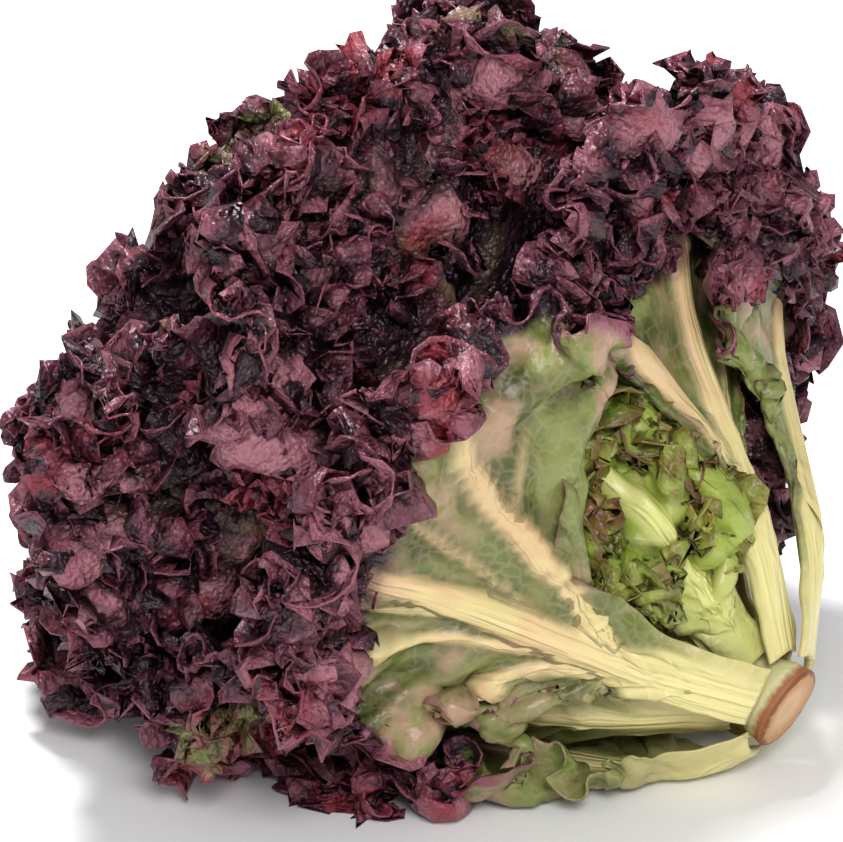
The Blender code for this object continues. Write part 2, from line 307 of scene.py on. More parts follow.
# %% The rows and columns of a sheet
# Columns, the share of them along the first STALK_EDGE of the edge, how often they double, and
# rows on the plain part of the blade. The leaves whose stalks show have more of them there.
STALK_EDGE = 0.34
PLAIN_GRID = (40, 0.16, 8, 13)
STALK_GRID = (76, 0.40, 4, 20)
FRONT_GRID = (104, 0.42, 4, 30)
GRIDS = {1: STALK_GRID, 2: FRONT_GRID, 3: STALK_GRID, 5: STALK_GRID, 7: STALK_GRID}
FRILL_ROWS = [(2, [0.83, 0.86, 0.89, 0.92, 0.945]), (4, [0.965, 0.983])]


def join_rows(rows):
    """Faces between rows of point numbers. A row may have twice as many steps as the one before."""
    faces = []
    for inner, outer in zip(rows, rows[1:]):
        if len(inner) == len(outer):
            quads = np.stack([inner[:-1], inner[1:], outer[1:], outer[:-1]], 1)
            faces += [tuple(q) for q in quads.tolist()]
            continue
        for n in range(len(inner) - 1):
            a, b = int(inner[n]), int(inner[n + 1])
            first, middle, last = (int(i) for i in outer[2 * n : 2 * n + 3])
            faces += [(a, middle, first), (a, b, middle), (b, last, middle)]
    return faces


def blade_grid(columns, stalk_share, edge_detail, plain_rows):
    """(along, across, side, faces) of a leaf's sheet, whose two sides share the midrib's points."""
    along, across, side, rows = [], [], [], []
    count = 0
    plain = [0.0, 0.02, 0.045, *np.linspace(0.07, 0.80, plain_rows)]
    for detail, places in [(1, plain), *FRILL_ROWS, (edge_detail, [1.0])]:
        for share in places:
            steps = columns * detail
            line = np.arange(2 * steps + 1)
            position = 1.0 - np.abs(line - steps) / steps
            position = np.interp(position, [0.0, stalk_share, 1.0], [0.0, STALK_EDGE, 1.0])
            if share == 0.0:
                ids = count + np.minimum(line, 2 * steps - line)
                position, sides = position[: steps + 1], np.full(steps + 1, -1.0)
            else:
                ids = count + line
                sides = np.where(line <= steps, -1.0, 1.0)
            along.append(position)
            side.append(sides)
            across.append(np.full(len(position), share))
            rows.append(ids)
            count += len(position)
    return np.concatenate(along), np.concatenate(across), np.concatenate(side), join_rows(rows)


def teeth(count, rng):
    """How far each point of an edge stands out, from 0 to 1: a pointed tooth every few points."""
    out = np.zeros(count + 4)
    peaks = np.cumsum(rng.integers(5, 10, count))
    peaks = peaks[peaks < count]
    heights = rng.uniform(0.25, 1.0, len(peaks))
    for beside, share in ((0, 0.18), (1, 0.55), (2, 1.0), (3, 0.55), (4, 0.18)):
        out[peaks + beside] = np.maximum(out[peaks + beside], share * heights)
    return out[2:-2]


for grid_name, grid in (("plain", PLAIN_GRID), ("stalk", STALK_GRID), ("front", FRONT_GRID)):
    print("faces in a", grid_name, "sheet:", len(blade_grid(*grid)[3]))

# %% [markdown]
# The midrib is thick and round near the stem, like a stick of celery, and splits into side ribs that
# leave it at a narrow angle. On the front leaf one side rib is nearly as strong as the midrib. Each
# side vein branches again before it reaches the edge.

# %% Ribs and veins
RIB_THICKNESS = 0.0060
RIB_HALF_WIDTH = 0.0030
STALK_EXTRA = 0.0056  # half width that the midrib has more at the stem
RIB_FADE = 0.120
STOUT_RIBS = {2: 1.4, 3: 1.6, 7: 1.6}
SIDE_VEINS = 9
SIDE_VEIN_HEIGHT = 0.0013
BRANCH_START = 0.30
BRANCH_SPREAD = 0.07
# The painted shade beside a rib is deep green and spreads over this width.
PAINTED_SHADE_WIDTH = 2.1  # of the deep green beside a rib, as a multiple of the rib's width
# For some leaves, their side ribs: side, height, width, and places along the edge for RIB_STEPS
RIB_STEPS = (0.0, 0.10, 0.20, 0.32, 0.50, 0.70, 1.0)
SIDE_RIBS = {
    1: [
        (-1, 0.0016, 0.0020, (0.20, 0.27, 0.31, 0.34, 0.36, 0.37, 0.38)),
        (-1, 0.0014, 0.0018, (0.36, 0.44, 0.49, 0.53, 0.56, 0.58, 0.60)),
        (1, 0.0014, 0.0018, (0.24, 0.32, 0.37, 0.41, 0.44, 0.46, 0.48)),
    ],
    2: [
        (-1, 0.0046, 0.0034, (0.20, 0.36, 0.61, 0.69, 0.735, 0.75, 0.78)),
        (-1, 0.0018, 0.0024, (0.56, 0.68, 0.76, 0.81, 0.85, 0.87, 0.88)),
        (-1, 0.0016, 0.0022, (0.40, 0.52, 0.62, 0.66, 0.66, 0.65, 0.64)),
        (1, 0.0034, 0.0028, (0.22, 0.42, 0.52, 0.54, 0.53, 0.51, 0.48)),
        (1, 0.0026, 0.0025, (0.44, 0.58, 0.66, 0.70, 0.72, 0.72, 0.71)),
        (1, 0.0020, 0.0024, (0.62, 0.74, 0.80, 0.83, 0.85, 0.86, 0.87)),
        (1, 0.0016, 0.0022, (0.14, 0.25, 0.30, 0.32, 0.33, 0.33, 0.33)),
    ],
    3: [(-1, 0.0026, 0.0026, (0.40, 0.52, 0.58, 0.62, 0.65, 0.67, 0.69))],
    7: [
        (1, 0.0034, 0.0032, (0.26, 0.44, 0.53, 0.58, 0.61, 0.63, 0.65)),
        (-1, 0.0026, 0.0026, (0.40, 0.54, 0.61, 0.65, 0.68, 0.70, 0.72)),
    ],
}


def ridge(distance, half_width, power=2.0):
    return np.exp(-(np.abs(distance / half_width) ** power))


def midrib_height(number, leaf, place_on_rib):
    """The midrib's height along the leaf: full just above the stem, and nothing at the tip."""
    grown = place_on_rib * leaf.length
    fade = np.exp(-np.maximum(grown - 0.02, 0.0) / RIB_FADE) * smooth(1.0 - place_on_rib, 0.0, 0.3)
    room = 0.25 + 0.75 * smooth(grown, 0.004, 0.045)
    size = (1.0 - 0.75 * leaf.shell) * min(1.0, leaf.reach_end / 0.160)
    return RIB_THICKNESS * fade * room * size * STOUT_RIBS.get(number, 1.0)


def vein_masks(leaf, along, across, side, spacing, rng):
    """Side veins and their branches, from 0 between them to 1 on top of them."""
    veins = np.zeros(len(along))
    fade = 1.0 - 0.75 * smooth(across, 0.35, 0.95)
    for n in range(SIDE_VEINS):
        where = (n + 0.7 + 0.3 * rng.random(2)) / (SIDE_VEINS + 0.5)
        line = np.where(side > 0, *where)
        veins = np.maximum(veins, fade * ridge((along - line) * spacing, 0.0017 - 0.0007 * across))
        for spread in (BRANCH_SPREAD, -BRANCH_SPREAD):
            past = across - BRANCH_START * (1.0 if spread > 0 else 1.5)
            branch = ridge((along - line - spread * past) * spacing, 0.0012 - 0.0004 * across)
            veins = np.maximum(veins, 0.7 * fade * branch * (past > 0))
    return veins * smooth(across, 0.0, 0.05) * smooth(along, 0.10, 0.22)


def side_ribs_of(number, leaf, x, y):
    """(height, painted shade beside it, place along and across the side rib) at places in the leaf's
    plane.
    """
    heights = np.zeros(len(x))
    near = np.zeros(len(x))
    on_rib = np.stack([x, y, 0 * x], 1)
    for n, (rib_side, height, wide, path) in enumerate(SIDE_RIBS.get(number, [])):
        out = np.linspace(0.0, 1.0, 80)
        root, share, width = leaf.vein(np.interp(out, RIB_STEPS, path), np.full(80, float(rib_side)))
        line = np.stack([(root + (share - root) * out) * leaf.length, width * out * rib_side], 1)
        steps = np.diff(line, axis=0)
        run = np.concatenate([[0.0], np.cumsum(np.hypot(*steps.T))])
        gaps = np.hypot(x[:, None] - line[:, 0], y[:, None] - line[:, 1])
        nearest = np.minimum(gaps.argmin(axis=1), 78)
        off = np.stack([x, y], 1) - line[nearest]
        beside = (steps[nearest, 0] * off[:, 1] - steps[nearest, 1] * off[:, 0]) * rib_side
        offset = gaps.min(axis=1) * np.sign(beside)
        rib = height * ridge(offset, wide * (1.0 - 0.25 * out[nearest]))
        rib = rib * (1.0 - smooth(out[nearest], 0.45, 1.0))
        # Painted shade: the blade is darker next to a side rib.
        shade_beside_rib = ridge(offset, PAINTED_SHADE_WIDTH * wide) * (1.0 - smooth(out[nearest], 0.3, 0.8))
        near = np.maximum(near, shade_beside_rib)
        higher = rib > heights
        heights = np.maximum(heights, rib)
        on_rib[higher] = np.stack([run[nearest], offset, 0 * x + n + 1.0], 1)[higher]
    return heights, near, on_rib


print("side ribs by leaf:", {number: len(ribs) for number, ribs in SIDE_RIBS.items()})

# %% [markdown]
# Where other leaves lie over a leaf, its frill is pressed flat, and its folds can be left out.
# Shells make that easy to tell: a place on the outer face is hidden where a leaf on a shell further
# out reaches over the same distance and turn, and on the inner face where one further in does.

# %% Which places are hidden
HIDING_MARGIN = 0.012


def hidden(leaf, x, y, outer):
    """How far other leaves hide places on the outer or the inner face of a leaf, from 0 to 1."""
    reach = leaf.reach_at(x / leaf.length)
    turn = leaf.turn + y / leaf.distance_from_axis(reach)
    found = np.zeros(len(x))
    for other in leaves:
        if other is leaf or (other.shell < leaf.shell) != outer:
            continue
        share = np.interp(reach, other.rib_reaches, other.rib_lengths) / other.length
        off = (turn - other.turn + np.pi) % (2 * np.pi) - np.pi
        width = other.width_at(share) * other.side_width(share, np.sign(off))
        inside = width - np.abs(off) * other.distance_from_axis(reach)
        covered = smooth(inside, 0.0, HIDING_MARGIN)
        covered = covered * smooth(other.reach_end - reach, 0.004, 0.004 + HIDING_MARGIN)
        found = np.maximum(found, covered)
    return found


for number in (2, 20):
    middle = np.array([leaves[number - 1].length / 2])
    print("middle of leaf", number, "hidden:", hidden(leaves[number - 1], middle, 0 * middle, True))

# %% [markdown]
# The node trees that follow know nothing of leaves: they only read values that each point of a
# sheet carries. Worked out here, those values say where the frill begins, which way the edge runs,
# how high the ribs stand, and how red the leaf is. That keeps the trees short, and one tree serves
# every leaf.

# %% Values for each point of a blade
def unit(vectors):
    return vectors / np.maximum(np.linalg.norm(vectors, axis=-1), 1e-9)[..., None]


LONGEST_TOOTH = 0.0028
CROWN = (0.30, 0.60)  # shares of the leaf's length between which the frill takes over the blade
SHOWN_BLADE = {1: (0.56, 0.78), 2: (0.72, 0.88), 3: (0.72, 0.90), 5: (0.05, 0.35), 7: (0.60, 0.80)}
FORK_SHIFT = 0.12  # of the frill on the side with the forked midrib
CALM_FORK = 0.17  # how much later, along that side's edge, the waves start
CALM = {1: 0.20}  # the same for both sides of other leaves
CROWN_SHARE = 0.65
RED_AT_EDGE = 0.14
RED_DEPTH = 0.008  # how far from the edge it still reddens earlier
BROWN_AT_EDGE = 0.60
BROWN_DEPTH = 0.005
RIB_NARROWS_OVER = 0.034
RIB_MASK = (0.0006, 0.0024)  # heights between which a rib takes its pale colour
FAINT_VEINS = 0.35  # strength of the veins on leaves whose side ribs show


def crown_of(number, leaf, x, y, earlier=0.0):
    """How far the frill has taken over at a place on the leaf, from 0 to 1."""
    start, end = SHOWN_BLADE.get(number, CROWN)
    shift = FORK_SHIFT * smooth(-y, 0.010, 0.040) if leaf.lean else 0.0
    return smooth(x / leaf.length - shift + earlier, start, end)


def redness(number, leaf, x, y, edge):
    """How red the leaf is: it reddens towards its tip, and earlier along its edge."""
    if number == GREEN_LEAF:
        return BROWN_AT_EDGE * np.exp(-edge / BROWN_DEPTH)
    return crown_of(number, leaf, x, y, 0.04 + RED_AT_EDGE * np.exp(-edge / RED_DEPTH))


def edge_directions(leaf, along, across, side):
    """Unit vectors along the edge and towards it, for each point of a leaf's sheet."""
    after = leaf.points(np.maximum(along - 0.004, 0.0), across, side)
    before = leaf.points(np.minimum(along + 0.004, 1.0), across, side)
    out = leaf.points(along, np.minimum(across + 0.01, 1.0), side)
    back = leaf.points(along, np.maximum(across - 0.01, 0.0), side)
    return unit((after - before) * side[:, None]), unit(out - back)


def blade_values(number, leaf, along, across, side, rng):
    """The values that each point of a leaf's sheet carries."""
    root, share, width = leaf.vein(along, side)
    vein_length = np.hypot((share - root) * leaf.length, width)
    edge_length = leaf.outline_run[-1]
    along_edge, outward = edge_directions(leaf, along, across, side)
    place_on_rib = root + (share - root) * across
    x, y = place_on_rib * leaf.length, width * across * side
    calm = CALM_FORK * (side < 0) if leaf.lean else CALM.get(number, 0.0)
    up_blade = smooth(along - calm, leaf.stalk_end * 0.7, leaf.stalk_end + 0.33)
    crown = crown_of(number, leaf, x, y)
    pressed_flat = 1.0 - 0.8 * hidden(leaf, x, y, True)
    edge = (1.0 - across) * vein_length
    spacing = edge_length * across + leaf.length * 0.55 * (1.0 - across)
    half_width = RIB_HALF_WIDTH + STALK_EXTRA * np.exp(-x / RIB_NARROWS_OVER)
    half_width = half_width * (1.0 - 0.4 * leaf.shell) * min(STOUT_RIBS.get(number, 1.0), 1.3)
    rib = midrib_height(number, leaf, place_on_rib) * ridge(width * across, half_width, 2.4)
    side_ribs, near, on_rib = side_ribs_of(number, leaf, x, y)
    # Painted shade next to the midrib as well.
    near = np.maximum(near, ridge(width * across, 2.0 * half_width) * smooth(x, 0.05, 0.09))
    on_rib = np.where((rib > side_ribs)[:, None], np.stack([x, y, 0 * x], 1), on_rib)
    veins = vein_masks(leaf, along, across, side, spacing, rng)
    veins = veins * (FAINT_VEINS if number in SIDE_RIBS else 1.0)
    ribs_all = np.maximum(rib, side_ribs)
    rib_mask = smooth(ribs_all, *RIB_MASK)
    tooth = np.zeros(len(along))
    tooth[across == 1.0] = teeth(int((across == 1.0).sum()), rng)
    return {
        "run": side * (1.0 - along) * edge_length,
        "edge": edge * (1.0 - CROWN_SHARE * crown),
        "leafy": up_blade * smooth(across, 0.10, 0.45) * pressed_flat,
        "crown": crown * up_blade * pressed_flat,
        "leaf_place": np.stack([x, y, 0 * across], 1),
        "along_edge": along_edge,
        "outward": outward,
        "rib": ribs_all + SIDE_VEIN_HEIGHT * veins,
        "on_rib": on_rib,
        "rib_mask": rib_mask,
        "rib_painted_shade": near * (number in SIDE_RIBS),
        "soft": (1.0 - rib_mask) * (1.0 - 0.6 * veins),
        "vein_mask": veins,
        "grown": x,
        "red": redness(number, leaf, x, y, edge),
        "tooth": tooth * LONGEST_TOOTH * up_blade,
    }


# %% [markdown]
# ## The frills, as Geometry Nodes
#
# The edge of this lettuce grows faster than the blade behind it, so it buckles into waves, the waves
# buckle into smaller waves, and so on. One node group makes one such set of waves: it lifts the
# sheet along its own normal, and slides it along the edge so that the folds lean over. Chained
# with shorter and shorter waves, each on the normals that the last one left, it gives the frill.

# %% Small helpers for node trees
def new_node(tree, kind, **settings):
    made = tree.nodes.new(kind)
    for name, value in settings.items():
        setattr(made, name, value)
    return made


def feed(tree, socket, value):
    if isinstance(value, bpy.types.NodeSocket):
        tree.links.new(value, socket)
    elif value is not None:
        socket.default_value = value


def calc(tree, operation, *values):
    made = new_node(tree, "ShaderNodeMath", operation=operation)
    for socket, value in zip(made.inputs, values):
        feed(tree, socket, value)
    return made.outputs[0]


def vector_calc(tree, operation, *values, scale=None):
    made = new_node(tree, "ShaderNodeVectorMath", operation=operation)
    for socket, value in zip(made.inputs, values):
        feed(tree, socket, value)
    if scale is not None:
        feed(tree, made.inputs["Scale"], scale)
    return made.outputs["Value" if operation == "DOT_PRODUCT" else "Vector"]


def combine(tree, *values):
    made = new_node(tree, "ShaderNodeCombineXYZ")
    for socket, value in zip(made.inputs, values):
        feed(tree, socket, value)
    return made.outputs[0]


def noise(tree, where, scale=1.0, detail=1.0):
    made = new_node(tree, "ShaderNodeTexNoise")
    feed(tree, made.inputs["Vector"], where)
    feed(tree, made.inputs["Scale"], scale)
    feed(tree, made.inputs["Detail"], detail)
    return made.outputs["Fac"]


def stored(tree, name, kind="FLOAT"):
    made = new_node(tree, "GeometryNodeInputNamedAttribute", data_type=kind)
    made.inputs["Name"].default_value = name
    return next(s for s in made.outputs if s.enabled and s.name == "Attribute")


def in_plane(tree, direction, normal):
    """The part of a direction that lies in the sheet, as a unit vector."""
    out_of_plane = vector_calc(tree, "DOT_PRODUCT", direction, normal)
    lean = vector_calc(tree, "SCALE", normal, scale=out_of_plane)
    return vector_calc(tree, "NORMALIZE", vector_calc(tree, "SUBTRACT", direction, lean))


def noise_place(tree, size, seed):
    """Where to read noise: the place in the leaf's plane, in units of a size, moved by the seed."""
    per_size = calc(tree, "DIVIDE", 1.0, size)
    scaled = vector_calc(tree, "SCALE", stored(tree, "leaf_place", "FLOAT_VECTOR"), scale=per_size)
    return vector_calc(tree, "ADD", scaled, combine(tree, 0.0, 0.0, seed))


def add_offset(tree, geometry, offset):
    made = new_node(tree, "GeometryNodeSetPosition")
    feed(tree, made.inputs["Geometry"], geometry)
    feed(tree, made.inputs["Offset"], offset)
    return made.outputs["Geometry"]


def new_tree(name, kind, inputs, outputs):
    tree = bpy.data.node_groups.new(name, kind)
    for label, socket_type, default in inputs:
        made = tree.interface.new_socket(label, in_out="INPUT", socket_type=socket_type)
        if default is not None:
            made.default_value = default
    for label, socket_type in outputs:
        tree.interface.new_socket(label, in_out="OUTPUT", socket_type=socket_type)
    return tree, new_node(tree, "NodeGroupInput"), new_node(tree, "NodeGroupOutput")


# %% [markdown]
# A set of waves is a sine along the edge. It grows from nothing deep in the blade to its full height
# at the edge, as it does on the real leaf. Noise shifts its phase and changes its height, because
# even waves look machined, and it draws some places of the edge out into lobes.

# %% One set of waves
WANDER_SCALE, WANDER = 0.45, 8.0  # of the noise that shifts the waves along the edge, in radians
UNEVEN_SCALE = 0.9
LOBE_SCALE = 1.3


def make_frill_group():
    tree, given, result = new_tree(
        "frill",
        "GeometryNodeTree",
        [
            ("Geometry", "NodeSocketGeometry", None),
            ("Height", "NodeSocketFloat", 0.004),
            ("Wavelength", "NodeSocketFloat", 0.015),
            ("Depth", "NodeSocketFloat", 0.015),
            ("Overhang", "NodeSocketFloat", 0.1),
            ("Lobes", "NodeSocketFloat", 0.0),
            ("Curl", "NodeSocketFloat", 0.0),
            ("Roll", "NodeSocketFloat", 0.3),
            ("Seed", "NodeSocketFloat", 0.0),
        ],
        [("Geometry", "NodeSocketGeometry")],
    )
    length = given.outputs["Wavelength"]
    run = calc(tree, "DIVIDE", stored(tree, "run"), length)
    drift = noise_place(tree, length, given.outputs["Seed"])
    wander = calc(tree, "MULTIPLY_ADD", noise(tree, drift, WANDER_SCALE), 2 * WANDER, -WANDER)
    phase = calc(tree, "MULTIPLY_ADD", run, 2 * math.pi, wander)
    depth = calc(tree, "DIVIDE", stored(tree, "edge"), given.outputs["Depth"])
    growth = calc(tree, "EXPONENT", calc(tree, "MULTIPLY", depth, -1.0))
    growth = calc(tree, "MULTIPLY", growth, stored(tree, "leafy"))
    uneven = calc(tree, "MULTIPLY_ADD", noise(tree, drift, UNEVEN_SCALE), 1.6, 0.2)
    lift = calc(tree, "ADD", calc(tree, "SINE", phase), given.outputs["Roll"])
    lift = calc(tree, "MULTIPLY", lift, given.outputs["Height"])
    lift = calc(tree, "MULTIPLY", calc(tree, "MULTIPLY", lift, growth), uneven)
    twice = calc(tree, "SINE", calc(tree, "MULTIPLY", phase, 2.0))
    slide = calc(tree, "MULTIPLY", calc(tree, "MULTIPLY", length, given.outputs["Overhang"]), -1.0)
    slide = calc(tree, "MULTIPLY", calc(tree, "MULTIPLY", slide, twice), growth)
    normal = new_node(tree, "GeometryNodeInputNormal").outputs[0]
    sideways = in_plane(tree, stored(tree, "along_edge", "FLOAT_VECTOR"), normal)
    lobe = calc(tree, "MULTIPLY_ADD", noise(tree, drift, LOBE_SCALE), 2.0, -1.0)
    lobe = calc(tree, "MULTIPLY", lobe, given.outputs["Lobes"])
    back = calc(tree, "MULTIPLY_ADD", calc(tree, "SINE", phase), -0.5, -0.5)
    lobe = calc(tree, "MULTIPLY_ADD", back, given.outputs["Curl"], lobe)
    lobe = calc(tree, "MULTIPLY", lobe, growth)
    moved = vector_calc(tree, "SCALE", normal, scale=lift)
    moved = vector_calc(tree, "ADD", moved, vector_calc(tree, "SCALE", sideways, scale=slide))
    outward = stored(tree, "outward", "FLOAT_VECTOR")
    moved = vector_calc(tree, "ADD", moved, vector_calc(tree, "SCALE", outward, scale=lobe))
    shape = add_offset(tree, given.outputs["Geometry"], moved)
    feed(tree, result.inputs["Geometry"], shape)
    return tree


frill = make_frill_group()
print("frill group:", len(frill.nodes), "nodes")


# %% [markdown]
# Between its veins the real blade bulges, because it grows faster than they do. Sculpting that on
# every leaf would take long. Smooth noise in the leaf's plane, added along the normal, gives such
# blisters in one step.

# %% One set of blisters
def make_blister_group():
    """Rounded bulges and hollows over the blade, strongest where the input Where is 1."""
    tree, given, result = new_tree(
        "blisters",
        "GeometryNodeTree",
        [
            ("Geometry", "NodeSocketGeometry", None),
            ("Height", "NodeSocketFloat", 0.004),
            ("Size", "NodeSocketFloat", 0.02),
            ("Where", "NodeSocketFloat", 1.0),
            ("Seed", "NodeSocketFloat", 0.0),
        ],
        [("Geometry", "NodeSocketGeometry")],
    )
    place_in = noise_place(tree, given.outputs["Size"], given.outputs["Seed"])
    bulge = calc(tree, "MULTIPLY_ADD", noise(tree, place_in, 1.0, 0.0), 4.0, -2.0)
    bulge = calc(tree, "MULTIPLY", bulge, given.outputs["Height"])
    bulge = calc(tree, "MULTIPLY", bulge, given.outputs["Where"])
    normal = new_node(tree, "GeometryNodeInputNormal").outputs[0]
    moved = vector_calc(tree, "SCALE", normal, scale=bulge)
    shape = add_offset(tree, given.outputs["Geometry"], moved)
    feed(tree, result.inputs["Geometry"], shape)
    return tree


blisters = make_blister_group()
print("blister group:", len(blisters.nodes), "nodes")


# %% [markdown]
# The whole tree first raises blisters on the blade, then chains three sets of waves, and at the end
# draws the teeth out of the edge, in the plane that the frill has there.

# %% The tree for a whole leaf
# Name, height, wavelength, and then what WAVE_INPUTS names
WAVE_INPUTS = ("Depth", "Overhang", "Lobes", "Curl", "Roll")
WAVE_SETS = [
    ("Broad", 0.0070, 0.029, 0.030, 0.10, 0.004, 0.004, 0.5),
    ("Middle", 0.0046, 0.0125, 0.020, 0.14, 0.0015, 0.003, 0.2),
    ("Fine", 0.0012, 0.0062, 0.010, 0.08, 0.0006, 0.0006, 0.0),
]
# Name, height, size, and the stored value that says where the blisters are
BLISTER_SETS = [
    ("Swell", 0.0055, 0.040, "crown"),
    ("Bulge", 0.0032, 0.016, "crown"),
    ("Pucker", 0.0010, 0.010, "soft"),
]
WAVE_SEED_STEP, BLISTER_SEED_STEP = 7.3, 31.7


def add_step(tree, shape, group, label, inputs):
    """The shape after one more group, whose inputs are given by name."""
    made = new_node(tree, "GeometryNodeGroup", node_tree=group, label=label)
    for name, value in {"Geometry": shape, **inputs}.items():
        feed(tree, made.inputs[name], value)
    return made.outputs["Geometry"]


def make_leaf_tree():
    tree, given, result = new_tree(
        "leaf_frills",
        "GeometryNodeTree",
        [
            ("Geometry", "NodeSocketGeometry", None),
            ("Ruffle", "NodeSocketFloat", 1.0),
            ("Fineness", "NodeSocketFloat", 1.0),
            ("Crumple", "NodeSocketFloat", 1.0),
            ("Seed", "NodeSocketFloat", 0.0),
            ("Material", "NodeSocketMaterial", None),
        ],
        [("Geometry", "NodeSocketGeometry")],
    )
    shape = given.outputs["Geometry"]
    normal = new_node(tree, "GeometryNodeInputNormal").outputs[0]
    for number, (label, height, size, where) in enumerate(BLISTER_SETS):
        inputs = {
            "Height": calc(tree, "MULTIPLY", given.outputs["Crumple"], height),
            "Size": size,
            "Where": stored(tree, where),
            "Seed": calc(tree, "ADD", given.outputs["Seed"], BLISTER_SEED_STEP * number),
        }
        shape = add_step(tree, shape, blisters, label, inputs)
    for number, (label, height, wavelength, *others) in enumerate(WAVE_SETS):
        inputs = {
            "Height": calc(tree, "MULTIPLY", given.outputs["Ruffle"], height),
            "Wavelength": calc(tree, "DIVIDE", wavelength, given.outputs["Fineness"]),
            "Seed": calc(tree, "ADD", given.outputs["Seed"], WAVE_SEED_STEP * number),
            **dict(zip(WAVE_INPUTS, others)),
        }
        shape = add_step(tree, shape, frill, label, inputs)
    out_of_edge = in_plane(tree, stored(tree, "outward", "FLOAT_VECTOR"), normal)
    drawn_out = vector_calc(tree, "SCALE", out_of_edge, scale=stored(tree, "tooth"))
    shape = add_offset(tree, shape, drawn_out)
    real = new_node(tree, "GeometryNodeRealizeInstances")
    feed(tree, real.inputs[0], shape)
    finish = new_node(tree, "GeometryNodeSetMaterial")
    feed(tree, finish.inputs["Geometry"], real.outputs[0])
    feed(tree, finish.inputs["Material"], given.outputs["Material"])
    feed(tree, result.inputs["Geometry"], finish.outputs["Geometry"])
    return tree


leaf_tree = make_leaf_tree()
print("leaf tree:", len(leaf_tree.nodes), "nodes")

# %% [markdown]
# ## Colours
#
# A red lettuce leaf is only red where the light reached it while it grew: at the frill. There it
# is nearly black in the hollows and lighter on the folds, partly its own dark red and partly painted
# shade and light, with vivid patches and pale ones that are a painted highlight. Towards the stem
# the red thins out over green, which is painted darker beside the ribs, as shade, and the base and
# the ribs are cream. So the colour follows the values that each point carries, broken up by noise.

# %% The colours
# The darker and lighter reds are mixed by lift, so the hollows are partly painted shade and the folds
# partly painted light; the pale colour is a painted highlight (sheen), the deep green is also the
# painted shade beside the ribs, and on red leaves the rim colour is partly a painted highlight.
RED_COLOURS = {
    "Dark": (0.016, 0.005, 0.013),
    "Light": (0.050, 0.010, 0.022),
    "Vivid": (0.330, 0.040, 0.055),
    "Painted Sheen": (0.500, 0.190, 0.240),
    "Rim": (0.210, 0.050, 0.080),
    "Deep And Shade": (0.055, 0.080, 0.020),
    "Blade": (0.21, 0.27, 0.065),
    "Blush": (0.48, 0.31, 0.20),
    "Base": (0.78, 0.70, 0.30),
    "Rib": (0.72, 0.50, 0.26),
}
GREEN_COLOURS = {
    "Dark": (0.035, 0.012, 0.008),
    "Light": (0.21, 0.085, 0.035),
    "Vivid": (0.40, 0.38, 0.06),
    "Painted Sheen": (0.48, 0.50, 0.10),
    "Rim": (0.200, 0.075, 0.030),
    "Deep And Shade": (0.13, 0.22, 0.02),
    "Blade": (0.34, 0.46, 0.05),
    "Blush": (0.56, 0.60, 0.14),
    "Base": (0.70, 0.70, 0.24),
    "Rib": (0.68, 0.68, 0.26),
}
# Scales of the noises, in steps per metre
BROAD_SCALE = 38.0
FINE_SCALE = 170.0
GREEN_SPOT_SCALE = 26.0
VIVID_SCALE = 33.0
BLUSH_SCALE = 60.0
NET_SCALE = 230.0
SMALL_WRINKLES = 480.0
LARGE_WRINKLES = 210.0
STREAK_SCALE = (22.0, 520.0, 7.3)  # along a rib, across it, and from one rib to the next


def attribute(tree, name):
    return new_node(tree, "ShaderNodeAttribute", attribute_name=name).outputs["Fac"]


def mix_colour(tree, factor, first, second):
    made = new_node(tree, "ShaderNodeMix", data_type="RGBA")
    feed(tree, made.inputs[0], factor)
    feed(tree, made.inputs[6], first)
    feed(tree, made.inputs[7], second)
    return made.outputs[2]


def rise(tree, value, start, end):
    """A smooth step from 0 at start to 1 at end."""
    made = new_node(tree, "ShaderNodeMapRange", interpolation_type="SMOOTHSTEP")
    for name, given in (("Value", value), ("From Min", start), ("From Max", end)):
        feed(tree, made.inputs[name], given)
    return made.outputs["Result"]


print(len(RED_COLOURS), "colours for red leaves and", len(GREEN_COLOURS), "for the green one")

# %% [markdown]
# Painting the leaves by hand would give one picture for each. Here the colour is mixed from parts
# instead, and each part is a short function that adds its nodes to the group's tree and returns
# their result. So each part can be read, and changed, by itself.

# %% The parts of the leaf's colour
def centred_noise(tree, where, scale):
    return calc(tree, "SUBTRACT", noise(tree, where, scale, 2.0), 0.5)


def red_share(tree, where, broad, fine):
    """How red a point is, with spots that stay green."""
    red = calc(tree, "MULTIPLY_ADD", broad, 0.9, attribute(tree, "red"))
    red = rise(tree, calc(tree, "MULTIPLY_ADD", fine, 0.4, red), 0.30, 0.72)
    spot = rise(tree, noise(tree, where, GREEN_SPOT_SCALE, 2.0), 0.63, 0.70)
    return calc(tree, "MULTIPLY", red, calc(tree, "MULTIPLY_ADD", spot, -0.7, 1.0))


def frill_colour(tree, colours, where, broad, fine):
    """Dark red, painted darker in the hollows and lighter on the folds, with a painted sheen and vivid
    patches.
    """
    # Lift paints the hollows darker and the folds lighter: partly the leaf's own dark red, partly
    # painted shade and light.
    raised = calc(tree, "MULTIPLY_ADD", attribute(tree, "raised"), 0.60, 0.10)
    raised = calc(tree, "MULTIPLY_ADD", calc(tree, "ADD", fine, broad), 1.5, raised)
    colour = mix_colour(tree, rise(tree, raised, 0.0, 0.8), colours["Dark"], colours["Light"])
    # The highest folds turn pale mauve: a painted highlight, standing in for the sheen of the waxy skin.
    pale = calc(tree, "MULTIPLY", rise(tree, raised, 0.50, 1.15), 0.8)
    colour = mix_colour(tree, pale, colour, colours["Painted Sheen"])
    vivid = rise(tree, noise(tree, where, VIVID_SCALE, 2.0), 0.55, 0.68)
    vivid = calc(tree, "MULTIPLY", vivid, rise(tree, raised, 0.05, 0.65))
    return mix_colour(tree, vivid, colour, colours["Vivid"])


